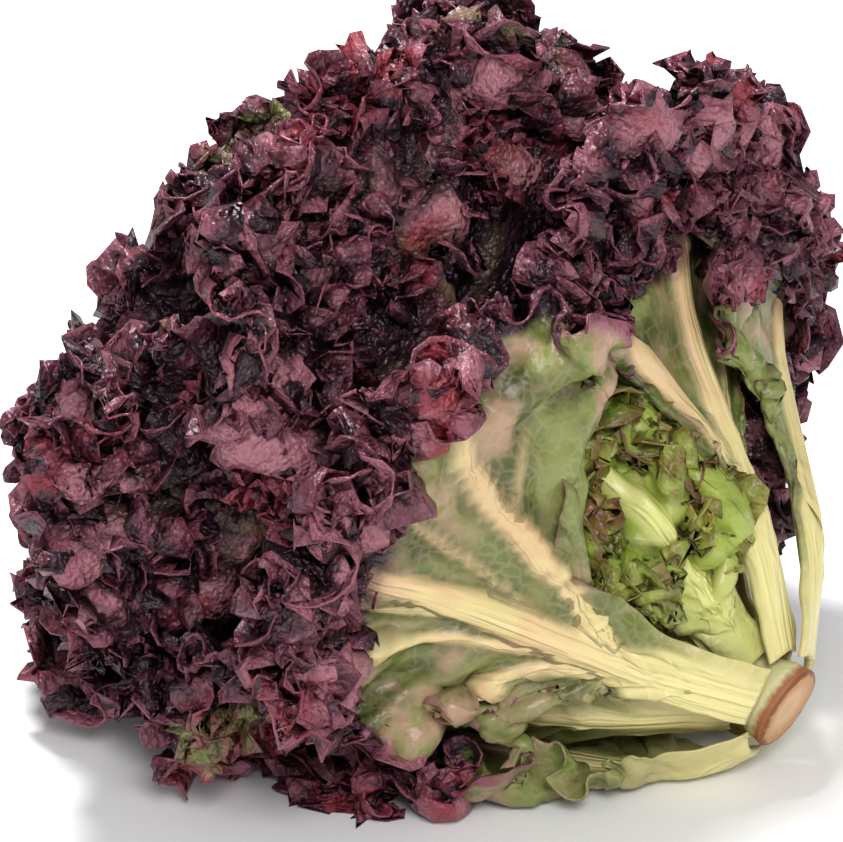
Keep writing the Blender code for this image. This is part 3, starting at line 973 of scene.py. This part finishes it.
def blade_colour(tree, colours, where, broad, grown):
    """Green, deeper in patches and, as painted shade, beside the ribs, with a blush, and cream at the
    base.
    """
    shade_beside_rib = attribute(tree, "rib_painted_shade")
    blush = noise(tree, where, BLUSH_SCALE, 2.0)
    # Lifted bulges blush a little more, which is a faint painted light.
    blush = calc(tree, "MULTIPLY_ADD", attribute(tree, "raised"), 0.05, blush)
    blush = calc(tree, "MULTIPLY", rise(tree, blush, 0.50, 0.70), rise(tree, grown, 0.03, 0.09))
    # No blush in the painted shade beside the ribs.
    blush = calc(tree, "MULTIPLY", blush, calc(tree, "MULTIPLY_ADD", shade_beside_rib, -0.9, 1.0))
    deep = rise(tree, calc(tree, "MULTIPLY", broad, -1.0), -0.02, 0.10)
    deep = calc(tree, "MULTIPLY", deep, 0.85)
    # Beside the ribs the green is painted darker, as shade.
    deep = calc(tree, "MAXIMUM", deep, calc(tree, "MULTIPLY", shade_beside_rib, 0.9))
    colour = mix_colour(tree, deep, colours["Blade"], colours["Deep And Shade"])
    colour = mix_colour(tree, blush, colour, colours["Blush"])
    return mix_colour(tree, rise(tree, grown, 0.008, 0.050), colours["Base"], colour)


def rib_colour(tree, colours, broad, grown, streak):
    """Cream, greener in patches, with fine grooves along the rib."""
    colour = mix_colour(tree, rise(tree, grown, 0.02, 0.085), colours["Base"], colours["Rib"])
    greener = calc(tree, "MULTIPLY", rise(tree, broad, 0.0, 0.14), 0.6)
    colour = mix_colour(tree, greener, colour, colours["Base"])
    groove = calc(tree, "MULTIPLY_ADD", streak, -0.16, 0.16)
    return mix_colour(tree, groove, colour, colours["Blade"])


def vein_share(tree, where, broad, fine, red):
    """How clearly the veins and the fine net between them show, which is less where it is red."""
    net = new_node(tree, "ShaderNodeTexVoronoi", feature="DISTANCE_TO_EDGE")
    bend_x, bend_y = calc(tree, "MULTIPLY", fine, 0.010), calc(tree, "MULTIPLY", broad, 0.012)
    bent = vector_calc(tree, "ADD", where, combine(tree, bend_x, bend_y, 0.0))
    feed(tree, net.inputs["Vector"], bent)
    feed(tree, net.inputs["Scale"], NET_SCALE)
    line = calc(tree, "SUBTRACT", 1.0, rise(tree, net.outputs["Distance"], 0.0, 0.20))
    vein = calc(tree, "MULTIPLY", attribute(tree, "vein_mask"), 0.65)
    vein = calc(tree, "MAXIMUM", vein, calc(tree, "MULTIPLY", line, 0.17))
    return calc(tree, "MULTIPLY", vein, calc(tree, "MULTIPLY_ADD", red, -0.85, 1.0))


def rim_share(tree, rim_width, fine, grown):
    """How much a point belongs to the thin rim of the edge."""
    # On red leaves the rim is a lighter crimson, partly a painted highlight of light through the thin
    # edge; on the green leaf it is its brown tip.
    width = calc(tree, "MULTIPLY_ADD", fine, rim_width, rim_width)
    rim = calc(tree, "SUBTRACT", 1.0, rise(tree, attribute(tree, "edge"), 0.0, width))
    rim = calc(tree, "MULTIPLY", rim, rise(tree, grown, 0.050, 0.085))
    return calc(tree, "MULTIPLY", rim, 0.60)


def relief_height(tree, where, streak):
    """Wrinkles, deepest on the frill and shallow on the ribs, with veins and streaks on top."""
    red, rib = attribute(tree, "red"), attribute(tree, "rib_mask")
    bumpy = calc(tree, "MULTIPLY_ADD", red, 0.55, 0.45)
    bumpy = calc(tree, "MULTIPLY", bumpy, calc(tree, "MULTIPLY_ADD", rib, -0.6, 1.0))
    wrinkles = calc(tree, "MULTIPLY", noise(tree, where, SMALL_WRINKLES, 1.0), red)
    wrinkles = calc(tree, "ADD", wrinkles, noise(tree, where, LARGE_WRINKLES, 2.0))
    wrinkles = calc(tree, "MULTIPLY", wrinkles, bumpy)
    height = calc(tree, "MULTIPLY_ADD", attribute(tree, "vein_mask"), 0.25, wrinkles)
    return calc(tree, "MULTIPLY_ADD", streak, calc(tree, "MULTIPLY", rib, 0.22), height)


# %% The leaf colour group
def make_colour_group():
    shades = [(name, "NodeSocketColor", (*value, 1)) for name, value in RED_COLOURS.items()]
    tree, given, result = new_tree(
        "leaf_colour",
        "ShaderNodeTree",
        [*shades, ("Rim Width", "NodeSocketFloat", 0.003)],
        [("Color", "NodeSocketColor"), ("Thin", "NodeSocketFloat"), ("Height", "NodeSocketFloat")],
    )
    colours = given.outputs
    where = new_node(tree, "ShaderNodeTexCoord").outputs["Object"]
    broad = centred_noise(tree, where, BROAD_SCALE)
    fine = centred_noise(tree, where, FINE_SCALE)
    grown = calc(tree, "MULTIPLY_ADD", broad, 0.04, attribute(tree, "grown"))
    on_rib = new_node(tree, "ShaderNodeAttribute", attribute_name="on_rib").outputs["Vector"]
    along_rib = vector_calc(tree, "MULTIPLY", on_rib, STREAK_SCALE)
    streak = rise(tree, noise(tree, along_rib, 1.0, 1.0), 0.32, 0.62)
    rib_mask = attribute(tree, "rib_mask")
    red = red_share(tree, where, broad, fine)
    blade = blade_colour(tree, colours, where, broad, grown)
    pale = rib_colour(tree, colours, broad, grown, streak)
    colour = mix_colour(tree, red, blade, frill_colour(tree, colours, where, broad, fine))
    colour = mix_colour(tree, vein_share(tree, where, broad, fine, red), colour, pale)
    reddened = mix_colour(tree, calc(tree, "MULTIPLY", red, 0.75), pale, colours["Light"])
    colour = mix_colour(tree, rib_mask, colour, reddened)
    rim = rim_share(tree, colours["Rim Width"], fine, grown)
    feed(tree, result.inputs["Color"], mix_colour(tree, rim, colour, colours["Rim"]))
    feed(tree, result.inputs["Thin"], calc(tree, "SUBTRACT", 1.0, rib_mask))
    feed(tree, result.inputs["Height"], relief_height(tree, where, streak))
    return tree


colour_group = make_colour_group()
print("colour group:", len(colour_group.nodes), "nodes")


# %% [markdown]
# The skin of a leaf is waxy, so it shines a little and has a thin coat. A blade is thin enough for
# light to pass through it, and that needs a translucent part besides the usual shader. The thick
# ribs let none through.

# %% The materials
LEAF_SURFACE = {
    "Roughness": 0.36,
    "Specular IOR Level": 0.55,
    "Specular Tint": (1.0, 0.75, 0.87, 1),
    "Coat Weight": 0.14,
    "Coat Roughness": 0.25,
}
LIGHT_THROUGH = 0.18  # share of the light that a leaf lets through


def new_material(name, surface):
    """(material, tree, shader) of a new material, with the given values of its surface."""
    made = bpy.data.materials.new(name)
    made.use_nodes = True
    shader = made.node_tree.nodes["Principled BSDF"]
    for label, value in surface.items():
        shader.inputs[label].default_value = value
    return made, made.node_tree, shader


def add_relief(tree, shader, height, strength, distance):
    relief = new_node(tree, "ShaderNodeBump")
    relief.inputs["Strength"].default_value = strength
    relief.inputs["Distance"].default_value = distance
    feed(tree, relief.inputs["Height"], height)
    feed(tree, shader.inputs["Normal"], relief.outputs["Normal"])


def make_leaf_material(name, colours, rim_width, through):
    made, tree, shader = new_material(name, LEAF_SURFACE)
    colour = new_node(tree, "ShaderNodeGroup", node_tree=colour_group)
    for label, value in colours.items():
        colour.inputs[label].default_value = (*value, 1)
    colour.inputs["Rim Width"].default_value = rim_width
    feed(tree, shader.inputs["Base Color"], colour.outputs["Color"])
    add_relief(tree, shader, colour.outputs["Height"], 0.9, 0.0024)
    glow = new_node(tree, "ShaderNodeBsdfTranslucent")
    tint = mix_colour(tree, 0.55, colour.outputs["Color"], (*through, 1))
    feed(tree, glow.inputs["Color"], tint)
    both = new_node(tree, "ShaderNodeMixShader")
    feed(tree, both.inputs[0], calc(tree, "MULTIPLY", colour.outputs["Thin"], LIGHT_THROUGH))
    feed(tree, both.inputs[1], shader.outputs[0])
    feed(tree, both.inputs[2], glow.outputs[0])
    feed(tree, tree.nodes["Material Output"].inputs["Surface"], both.outputs[0])
    return made


red_material = make_leaf_material("lettuce_red", RED_COLOURS, 0.0025, (0.30, 0.02, 0.035))
green_material = make_leaf_material("lettuce_green", GREEN_COLOURS, 0.0030, (0.35, 0.55, 0.06))
print("materials:", red_material.name, green_material.name)


# %% [markdown]
# ## Folds of the margin
#
# A frilled margin is so long that it doesn't only run round the blade: it folds back over it, loop
# after loop, until the whole crown of the leaf is covered with toothed folds. One sheet that does all
# this would need very many points. Here the loops that lie on the crown are strips of their own. Each
# follows a line on the finished blade, stands on it, and goes through the same frill tree.

# %% Places on a finished blade
SAMPLE_RADIUS = 0.0022


def on_blade(blade, x, y):
    """(points, normals) of a frilled blade at places in the leaf's plane."""
    gaps = (x[:, None] - blade["x"]) ** 2 + (y[:, None] - blade["y"]) ** 2
    gaps -= gaps.min(axis=1)[:, None]
    weights = np.exp(-gaps / SAMPLE_RADIUS**2)
    weights /= weights.sum(axis=1)[:, None]
    return weights @ blade["points"], unit(weights @ blade["normals"])


def softened(values, times=4):
    for _ in range(times):
        values[1:-1] = (values[:-2] + 2 * values[1:-1] + values[2:]) / 4
    return values


# %% [markdown]
# On the real leaf the folds lie in loops round the crown. Their lines are pieces of rings here, and
# each ring is the leaf's outline made smaller. Every piece drifts a little in or out, so that the
# rings can't be seen. Lines that other leaves hide are left out.

# %% Lines that the folds follow
# Sizes of the rings that the lines lie on, as shares of the leaf's outline
RINGS = (0.95, 0.86, 0.77, 0.68, 0.59, 0.50, 0.41, 0.31)
RING_CENTRE = 0.45  # share of the leaf's length
RING_START = 0.28  # along the edge
FOLD_STEP = 0.0013
FOLD_LENGTH = (0.040, 0.085)
LOWEST_FOLD = 0.014


def fold_lines(number, leaf, rng, outer):
    """(x, y, size) of lines in the leaf's plane, each of which one fold follows."""
    half = np.linspace(RING_START, 1.0, 150)
    along = np.concatenate([half, half[-2::-1]])
    side = np.where(np.arange(len(along)) < 150, -1.0, 1.0)
    share, width = leaf.edge(along)
    width = width * leaf.side_width(share, side)
    centre = RING_CENTRE * leaf.length
    lines = []
    for ring in RINGS if outer else RINGS[1:5:2]:
        x = centre + ring * (share * leaf.length - centre)
        y = ring * width * side
        run = np.concatenate([[0.0], np.cumsum(np.hypot(np.diff(x), np.diff(y)))])
        start = -rng.uniform(0.0, 0.03)
        while start < run[-1] - 0.02:
            length = rng.uniform(*FOLD_LENGTH) * (1.0 if outer else 1.3)
            steps = 2 * int(length / FOLD_STEP / 2) + 1
            where = np.clip(np.linspace(start, start + length, 2 * steps + 1), 0.0, run[-1])
            drift = 1.0 + rng.uniform(-0.10, 0.10) * np.linspace(-0.5, 0.5, 2 * steps + 1)
            start += length * rng.uniform(0.75, 1.0)
            line_x = centre + drift * (np.interp(where, run, x) - centre)
            line_y = drift * np.interp(where, run, y)
            size = smooth(crown_of(number, leaf, line_x, line_y, 0.06), 0.0, 0.7)
            covered = softened(hidden(leaf, line_x, line_y, outer), 8)
            size = size * smooth(1.0 - covered, 0.2, 0.9)
            if size.mean() > 0.3:
                lines.append((line_x, line_y, smooth(size, 0.15, 0.7)))
    return lines


for number in (2, 10, 20):
    trial = fold_lines(number, leaves[number - 1], np.random.default_rng(0), True)
    print("lines on the outer face of leaf", number, "about", len(trial))

# %% [markdown]
# A fold is a narrow strip. Its base follows a line on the blade, and its rows stand up from there,
# lean outwards at an angle that differs from fold to fold, and get lower towards both ends.

# %% The folds of a leaf
FOLD_ROWS = [(1, 0.0), (1, 0.35), (2, 0.68), (2, 1.0)]
FOLD_HEIGHT = (0.008, 0.0130)
FOLD_RUFFLE = 0.78
FOLD_FINENESS = 1.6
FOLD_ROOT = 0.001  # how deep a fold starts in the blade
FOLD_PLAIN = {"crown": 0.0, "rib": 0.0, "rib_mask": 0.0, "rib_painted_shade": 0.0, "soft": 0.4, "vein_mask": 0.0}


def fold_frame(leaf, blade, x, y, outer):
    """(points, directions outwards, directions away from the blade) along the line of a fold."""
    base, up = on_blade(blade, x, y)
    near_floor = base[:, 2].mean() < LOWEST_FOLD
    centre = RING_CENTRE * leaf.length
    further, _ = on_blade(blade, centre + 1.07 * (x - centre), 1.07 * y)
    base, up = softened(base), softened(up if outer and not near_floor else -up)
    out = unit(softened(unit(further - base)))
    return base, out, unit(up - (up * out).sum(axis=1)[:, None] * out)


def folds_of(number, leaf, blade, rng):
    """(points, faces, values) of the unfrilled folds on a blade, or None if it has none."""
    points, faces, values = [], [], []
    count = 0
    lines = [(face, line) for face in (True, False) for line in fold_lines(number, leaf, rng, face)]
    for outer, (x, y, size) in lines:
        base, out, up = fold_frame(leaf, blade, x, y, outer)
        tangent = unit(np.gradient(base, axis=0))
        run = np.concatenate([[0.0], np.cumsum(np.linalg.norm(np.diff(base, axis=0), axis=1))])
        share = np.linspace(0.0, 1.0, len(x))
        angle = rng.uniform(0.5, 1.35) + 0.25 * np.sin(6.3 * share + rng.uniform(0, 6.3))
        cos, sin = np.cos(angle)[:, None], np.sin(angle)[:, None]
        rising, across = cos * out + sin * up, cos * up - sin * out
        height = rng.uniform(*FOLD_HEIGHT) * size
        height = height * (0.15 + 0.85 * smooth(0.5 - abs(share - 0.5), 0, 0.14))
        bend = rng.uniform(-0.2, 0.5)
        rows = []
        for detail, level in FOLD_ROWS:
            pick = slice(None, None, 3 - detail)
            tall = height[pick, None]
            here = base[pick] - FOLD_ROOT * up[pick]
            points.append(here + tall * (level * rising[pick] + bend * level**2 * across[pick]))
            amount = len(points[-1])
            rows.append(np.arange(count, count + amount))
            count += amount
            edge = (1.0 - level) * height[pick]
            depth = 0.05 * len(values) + level * height[pick]
            tooth = teeth(amount, rng) if level == 1.0 else 0.0
            plain = {key: np.full(amount, value) for key, value in FOLD_PLAIN.items()}
            values.append(
                {
                    **plain,
                    "run": run[pick],
                    "edge": edge,
                    "leafy": size[pick] * smooth(level, 0.0, 0.45),
                    "leaf_place": np.stack([x[pick], y[pick], depth], 1),
                    "along_edge": tangent[pick],
                    "outward": rising[pick],
                    "on_rib": np.zeros((amount, 3)),
                    "grown": x[pick],
                    "red": redness(number, leaf, x[pick], y[pick], edge),
                    "tooth": LONGEST_TOOTH * size[pick] * tooth,
                }
            )
        faces += join_rows(rows)
    if not points:
        return None
    joined = {key: np.concatenate([row[key] for row in values]) for key in values[0]}
    return np.concatenate(points), faces, joined


# %% [markdown]
# ## Making the leaves
#
# The tree gives sheets without thickness. Each sheet is then doubled into an outer and an inner
# face, joined round the edge, which gives closed blades about half a millimetre thick. The ribs
# stand out mostly on the outer face, as they do on the real leaf.

# %% From table to closed blades
BLADE_HALF_THICKNESS = 0.00028
FLOOR_PRESS = 0.0030
# The lift that sets the painted shade and light of the frills and folds.
FULL_LIFT = 0.006  # of a fold, for its colour
# A fold is lighter at its edge and painted darker towards its base on the blade, as shade in the crease.
FOLD_BASE_SHADE = (0.8, 0.006)  # of a fold at its edge, and the depth over which it darkens
CRUMPLED = {1: 1.4, 2: 1.7, 5: 0.9}  # how much some blades are crumpled, where others have 1
RUFFLED = {5: 0.75}  # the same for the height of their waves
# Each leaf's colour is made lighter or darker here; the inner leaves are darker as painted shade, deep
# in the head.
TONE_AND_SHADE = {1: 0.3, 2: 0.3, 3: 0.1, 4: 0.0, 6: 0.0, 7: 0.0, 8: 0.2, 10: 0.0}  # higher is lighter
INNER_LEAF_SHADE = -0.3  # of the leaves that TONE_AND_SHADE doesn't name
SEED_STEP, FOLD_SEED = 3.1, 50.0
KEPT_VALUES = ("edge", "grown", "rib_mask", "rib_painted_shade", "vein_mask", "red", "raised", "on_rib")


def add_object(name, data):
    made = bpy.data.objects.new(name, data)
    bpy.context.scene.collection.objects.link(made)
    return made


def to_mesh(name, points, faces, values):
    mesh = bpy.data.meshes.new(name)
    mesh.from_pydata(points.tolist(), [], faces)
    for key, value in values.items():
        kind = "FLOAT_VECTOR" if value.ndim > 1 else "FLOAT"
        made = mesh.attributes.new(key, kind, "POINT")
        part = "vector" if value.ndim > 1 else "value"
        made.data.foreach_set(part, value.astype(np.float32).ravel())
    mesh.shade_smooth()
    return mesh


def places_in(mesh):
    """(points, normals) of a mesh, as arrays."""
    arrays = np.empty((2, len(mesh.vertices) * 3), np.float32)
    mesh.vertices.foreach_get("co", arrays[0])
    mesh.vertex_normals.foreach_get("vector", arrays[1])
    return arrays.reshape(2, -1, 3).astype(float)


def frilled(points, faces, values, ruffle, fineness, crumple, seed, material):
    """(points, normals, how far each was lifted) of a sheet after the leaf tree has frilled it."""
    mesh = to_mesh("sheet", points, faces, values)
    _, flat_normals = places_in(mesh)
    obj = add_object("sheet", mesh)
    modifier = obj.modifiers.new("frills", "NODES")
    modifier.node_group = leaf_tree
    wanted = {"Ruffle": ruffle, "Fineness": fineness, "Crumple": crumple}
    wanted |= {"Seed": seed, "Material": material}
    for item in leaf_tree.interface.items_tree:
        if item.in_out == "INPUT" and item.name in wanted:
            modifier[item.identifier] = wanted[item.name]
    graph = bpy.context.evaluated_depsgraph_get()
    made = bpy.data.meshes.new_from_object(obj.evaluated_get(graph))
    frilled_points, normals = places_in(made)
    bpy.data.objects.remove(obj, do_unlink=True)
    bpy.data.meshes.remove(made)
    lifted = ((frilled_points - points) * flat_normals).sum(axis=1)
    return frilled_points, normals, lifted


def border(faces):
    """The directed edges that only one face has."""
    ends = {(a, b) for face in faces for a, b in zip(face, face[1:] + face[:1])}
    return [(a, b) for a, b in ends if (b, a) not in ends]


def pressed(points):
    """Points that would sink into the surface the head lies on are flattened just above it."""
    flat = FLOOR_PRESS * np.exp(np.minimum(points[:, 2] / FLOOR_PRESS - 1.0, 0.0))
    points[:, 2] = np.where(points[:, 2] < FLOOR_PRESS, flat, points[:, 2])
    return points


def closed(points, normals, faces, rib):
    """(points, faces) of the closed blade round a sheet, with the ribs mostly on its outer face."""
    outer = points + normals * (BLADE_HALF_THICKNESS + 0.8 * rib)[:, None]
    inner = points - normals * (BLADE_HALF_THICKNESS + 0.2 * rib)[:, None]
    count = len(points)
    walls = [(b, a, a + count, b + count) for a, b in border(faces)]
    backs = [tuple(i + count for i in face[::-1]) for face in faces]
    return np.concatenate([outer, inner]), faces + backs + walls


def with_folds(number, leaf, sheet, rng, material):
    """(points, normals, faces, values) of a frilled sheet together with its frilled folds."""
    points, normals, faces, values = sheet
    x, y, _ = values["leaf_place"].T
    folds = folds_of(number, leaf, {"x": x, "y": y, "points": points, "normals": normals}, rng)
    if not folds:
        return sheet
    flat, more_faces, more = folds
    seed = SEED_STEP * number + FOLD_SEED
    made = frilled(flat, more_faces, more, FOLD_RUFFLE, FOLD_FINENESS, 1.0, seed, material)
    more_points, more_normals, lifted = made
    # Painted shade at a fold's base, and painted light at its lifted edge.
    more["raised"] = FOLD_BASE_SHADE[0] - more["edge"] / FOLD_BASE_SHADE[1] + 0.5 * lifted / FULL_LIFT
    faces = faces + [tuple(i + len(points) for i in face) for face in more_faces]
    values = {key: np.concatenate([values[key], more[key]]) for key in values}
    points, normals = np.concatenate([points, more_points]), np.concatenate([normals, more_normals])
    return points, normals, faces, values


def make_leaf(number, leaf):
    rng = np.random.default_rng(100 + number)
    material = green_material if number == GREEN_LEAF else red_material
    along, across, side, faces = blade_grid(*GRIDS.get(number, PLAIN_GRID))
    here = leaf.points(along, across, side)
    a, b, c = here[np.array(faces[len(faces) // 2][:3])]
    centre = BUTT_CENTRE + ((a - BUTT_CENTRE) @ AXIS) * AXIS
    if np.cross(b - a, c - a) @ (a - centre) < 0:
        faces = [face[::-1] for face in faces]
    values = blade_values(number, leaf, along, across, side, rng)
    ruffle = (1.0 - 0.25 * leaf.shell) * RUFFLED.get(number, 1.0)
    crumple = CRUMPLED.get(number, 1.0)
    seed = SEED_STEP * number
    points, normals, lifted = frilled(here, faces, values, ruffle, 1.0, crumple, seed, material)
    # The lift of each point sets its painted shade in the hollows and its painted light on the folds.
    values["raised"] = lifted / FULL_LIFT
    sheet = points, normals, faces, values
    points, normals, faces, values = with_folds(number, leaf, sheet, rng, material)
    # Inner leaves are painted darker, as shade deep in the head.
    values["raised"] = values["raised"] + TONE_AND_SHADE.get(number, INNER_LEAF_SHADE)
    all_points, all_faces = closed(points, normals, faces, values["rib"])
    kept = {key: np.concatenate([values[key]] * 2) for key in KEPT_VALUES}
    mesh = to_mesh(f"frilled_leaf_{number:02d}", pressed(all_points), all_faces, kept)
    mesh.materials.append(material)
    obj = add_object(f"frilled_leaf_{number:02d}", mesh)
    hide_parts(f"leaf_{number:02d}")
    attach(obj, "root")
    return obj


made_leaves = [make_leaf(number, leaf) for number, leaf in enumerate(leaves, 1)]
triangles = [sum(len(p.vertices) - 2 for p in o.data.polygons) for o in made_leaves]
print("leaves", len(made_leaves), "triangles", sum(triangles), "most in one", max(triangles))
print("triangles by leaf", triangles)

# %% [markdown]
# ## The cut stem
#
# The cut face is tan with a brown rim, and a scar runs round the side just behind it. It is a
# turned shape with a slightly uneven outline, coloured by the distance from the cut and the axis.

# %% The stem
STEM_SIDES = 96
CUT_FACE, CUT_OUTER, CUT_RIM = (0.66, 0.42, 0.24, 1), (0.50, 0.25, 0.10, 1), (0.20, 0.06, 0.02, 1)
SCAR, SKIN = (0.34, 0.12, 0.04, 1), (0.62, 0.60, 0.32, 1)
# Distance behind the cut and radius
STEM_PROFILE = [
    (0.0009, 0.0000), (0.0008, 0.0040), (0.0004, 0.0080), (0.0001, 0.0108), (0.0002, 0.0121),
    (0.0009, 0.0128), (0.0022, 0.0126), (0.0036, 0.0122), (0.0046, 0.0124), (0.0060, 0.0122),
]


def make_stem_material():
    made, tree, shader = new_material("lettuce_stem", {"Roughness": 0.55})
    where = new_node(tree, "ShaderNodeTexCoord").outputs["Object"]
    grain = noise(tree, where, 420.0, 4.0)
    rough = calc(tree, "SUBTRACT", grain, 0.5)
    behind = calc(tree, "MULTIPLY_ADD", rough, 0.003, attribute(tree, "behind"))
    out = calc(tree, "MULTIPLY_ADD", rough, 0.004, attribute(tree, "out"))
    face = mix_colour(tree, rise(tree, out, 0.004, 0.0105), CUT_FACE, CUT_OUTER)
    face = mix_colour(tree, rise(tree, out, 0.0108, 0.0122), face, CUT_RIM)
    skin = mix_colour(tree, rise(tree, behind, 0.0022, 0.0052), SCAR, SKIN)
    past_cut = rise(tree, attribute(tree, "behind"), 0.0007, 0.0014)
    feed(tree, shader.inputs["Base Color"], mix_colour(tree, past_cut, face, skin))
    add_relief(tree, shader, grain, 0.5, 0.0008)
    return made


def make_stem():
    profile = list(STEM_PROFILE)
    for height in np.linspace(0.010, STEM_LENGTH - 0.004, 8):
        profile.append((float(height), float(stem_radius(height)) - 0.0008))
    profile.append((STEM_LENGTH, 0.0))
    turns = np.arange(STEM_SIDES) * 2 * np.pi / STEM_SIDES
    uneven = 1.0 + 0.020 * np.sin(2 * turns + 0.6) + 0.012 * np.sin(5 * turns + 2.0)
    points, faces, behind, out = [], [], [], []
    rings = []
    for height, radius in profile:
        if radius == 0.0:
            rings.append([len(points)] * STEM_SIDES)
            points.append(BUTT_CENTRE + height * AXIS)
            behind.append(height)
            out.append(0.0)
            continue
        rings.append(list(range(len(points), len(points) + STEM_SIDES)))
        for turn, scale in zip(turns, uneven):
            direction = math.cos(turn) * UP + math.sin(turn) * FRONT
            points.append(BUTT_CENTRE + height * AXIS + radius * scale * direction)
            behind.append(height)
            out.append(radius)
    for low, high in zip(rings, rings[1:]):
        for n in range(STEM_SIDES):
            m = (n + 1) % STEM_SIDES
            face = dict.fromkeys((low[m], low[n], high[n], high[m]))
            faces.append(tuple(face))
    values = {"behind": np.array(behind), "out": np.array(out)}
    mesh = to_mesh("cut_stem", np.array(points), faces, values)
    mesh.materials.append(make_stem_material())
    obj = add_object("cut_stem", mesh)
    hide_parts("stem")
    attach(obj, "root")
    return obj


stem = make_stem()
print("stem faces", len(stem.data.polygons))

# %% [markdown]
# ## Floor, light and camera
#
# The head lies on a plain white surface in soft light: one lamp high above it, a little to the left
# and behind, a weaker and larger one from the camera's side, and a pale surrounding. The camera
# looks from the side of the cut end.

# %% Floor and light
FLOOR_SURFACE = {"Base Color": (0.93, 0.93, 0.94, 1), "Roughness": 0.9}
WORLD_STRENGTH = 0.43

floor_mesh = bpy.data.meshes.new("floor")
corners = [(-6, -6, 0), (6, -6, 0), (6, 6, 0), (-6, 6, 0)]
floor_mesh.from_pydata(corners, [], [(0, 1, 2, 3)])
floor_mesh.materials.append(new_material("floor", FLOOR_SURFACE)[0])
floor = add_object("floor", floor_mesh)

world = bpy.data.worlds.new("studio")
world.use_nodes = True
background = world.node_tree.nodes["Background"]
background.inputs["Color"].default_value = (1, 1, 1, 1)
background.inputs["Strength"].default_value = WORLD_STRENGTH
bpy.context.scene.world = world
bpy.context.scene.view_settings.view_transform = "Standard"


def add_lamp(name, where, size, power):
    light = bpy.data.lights.new(name, "AREA")
    light.shape = "DISK"
    light.size = size
    light.energy = power
    obj = add_object(name, light)
    obj.location = where
    obj.rotation_euler = (Vector((0, 0, 0.08)) - obj.location).to_track_quat("-Z", "Y").to_euler()
    print(name, "lamp:", power, "W,", size, "m wide")


add_lamp("key", Vector((-0.4, 0.1, 1.5)), 0.40, 28)
add_lamp("fill", Vector((0.9, -0.9, 1.1)), 0.7, 15)

# %% [markdown]
# The camera stands where the photo was taken from. Its distance is chosen, and its lens follows
# from that and from the size of a pixel at the cut end. It is aimed so that the cut end falls on
# the same pixel as in the photo.

# %% Camera
AZIMUTH, ELEVATION = math.radians(36), math.radians(22)
DISTANCE = 1.0
METRES_PER_PIXEL = 0.00028
IMAGE_WIDTH, IMAGE_HEIGHT = 843, 842
BUTT_PIXEL = (790, 710)

view = Vector(
    (
        -math.sin(AZIMUTH) * math.cos(ELEVATION),
        math.cos(AZIMUTH) * math.cos(ELEVATION),
        -math.sin(ELEVATION),
    )
)
right = view.cross(Vector((0, 0, 1))).normalized()
upward = right.cross(view)
aim = Vector(BUTT_CENTRE.tolist())
aim -= right * (BUTT_PIXEL[0] - IMAGE_WIDTH / 2) * METRES_PER_PIXEL
aim += upward * (BUTT_PIXEL[1] - IMAGE_HEIGHT / 2) * METRES_PER_PIXEL
camera = add_object("camera", bpy.data.cameras.new("camera"))
camera.location = aim - view * DISTANCE
camera.rotation_euler = view.to_track_quat("-Z", "Y").to_euler()
camera.data.lens = camera.data.sensor_width * DISTANCE / (IMAGE_WIDTH * METRES_PER_PIXEL)
bpy.context.scene.camera = camera
print("lens", round(camera.data.lens, 1))
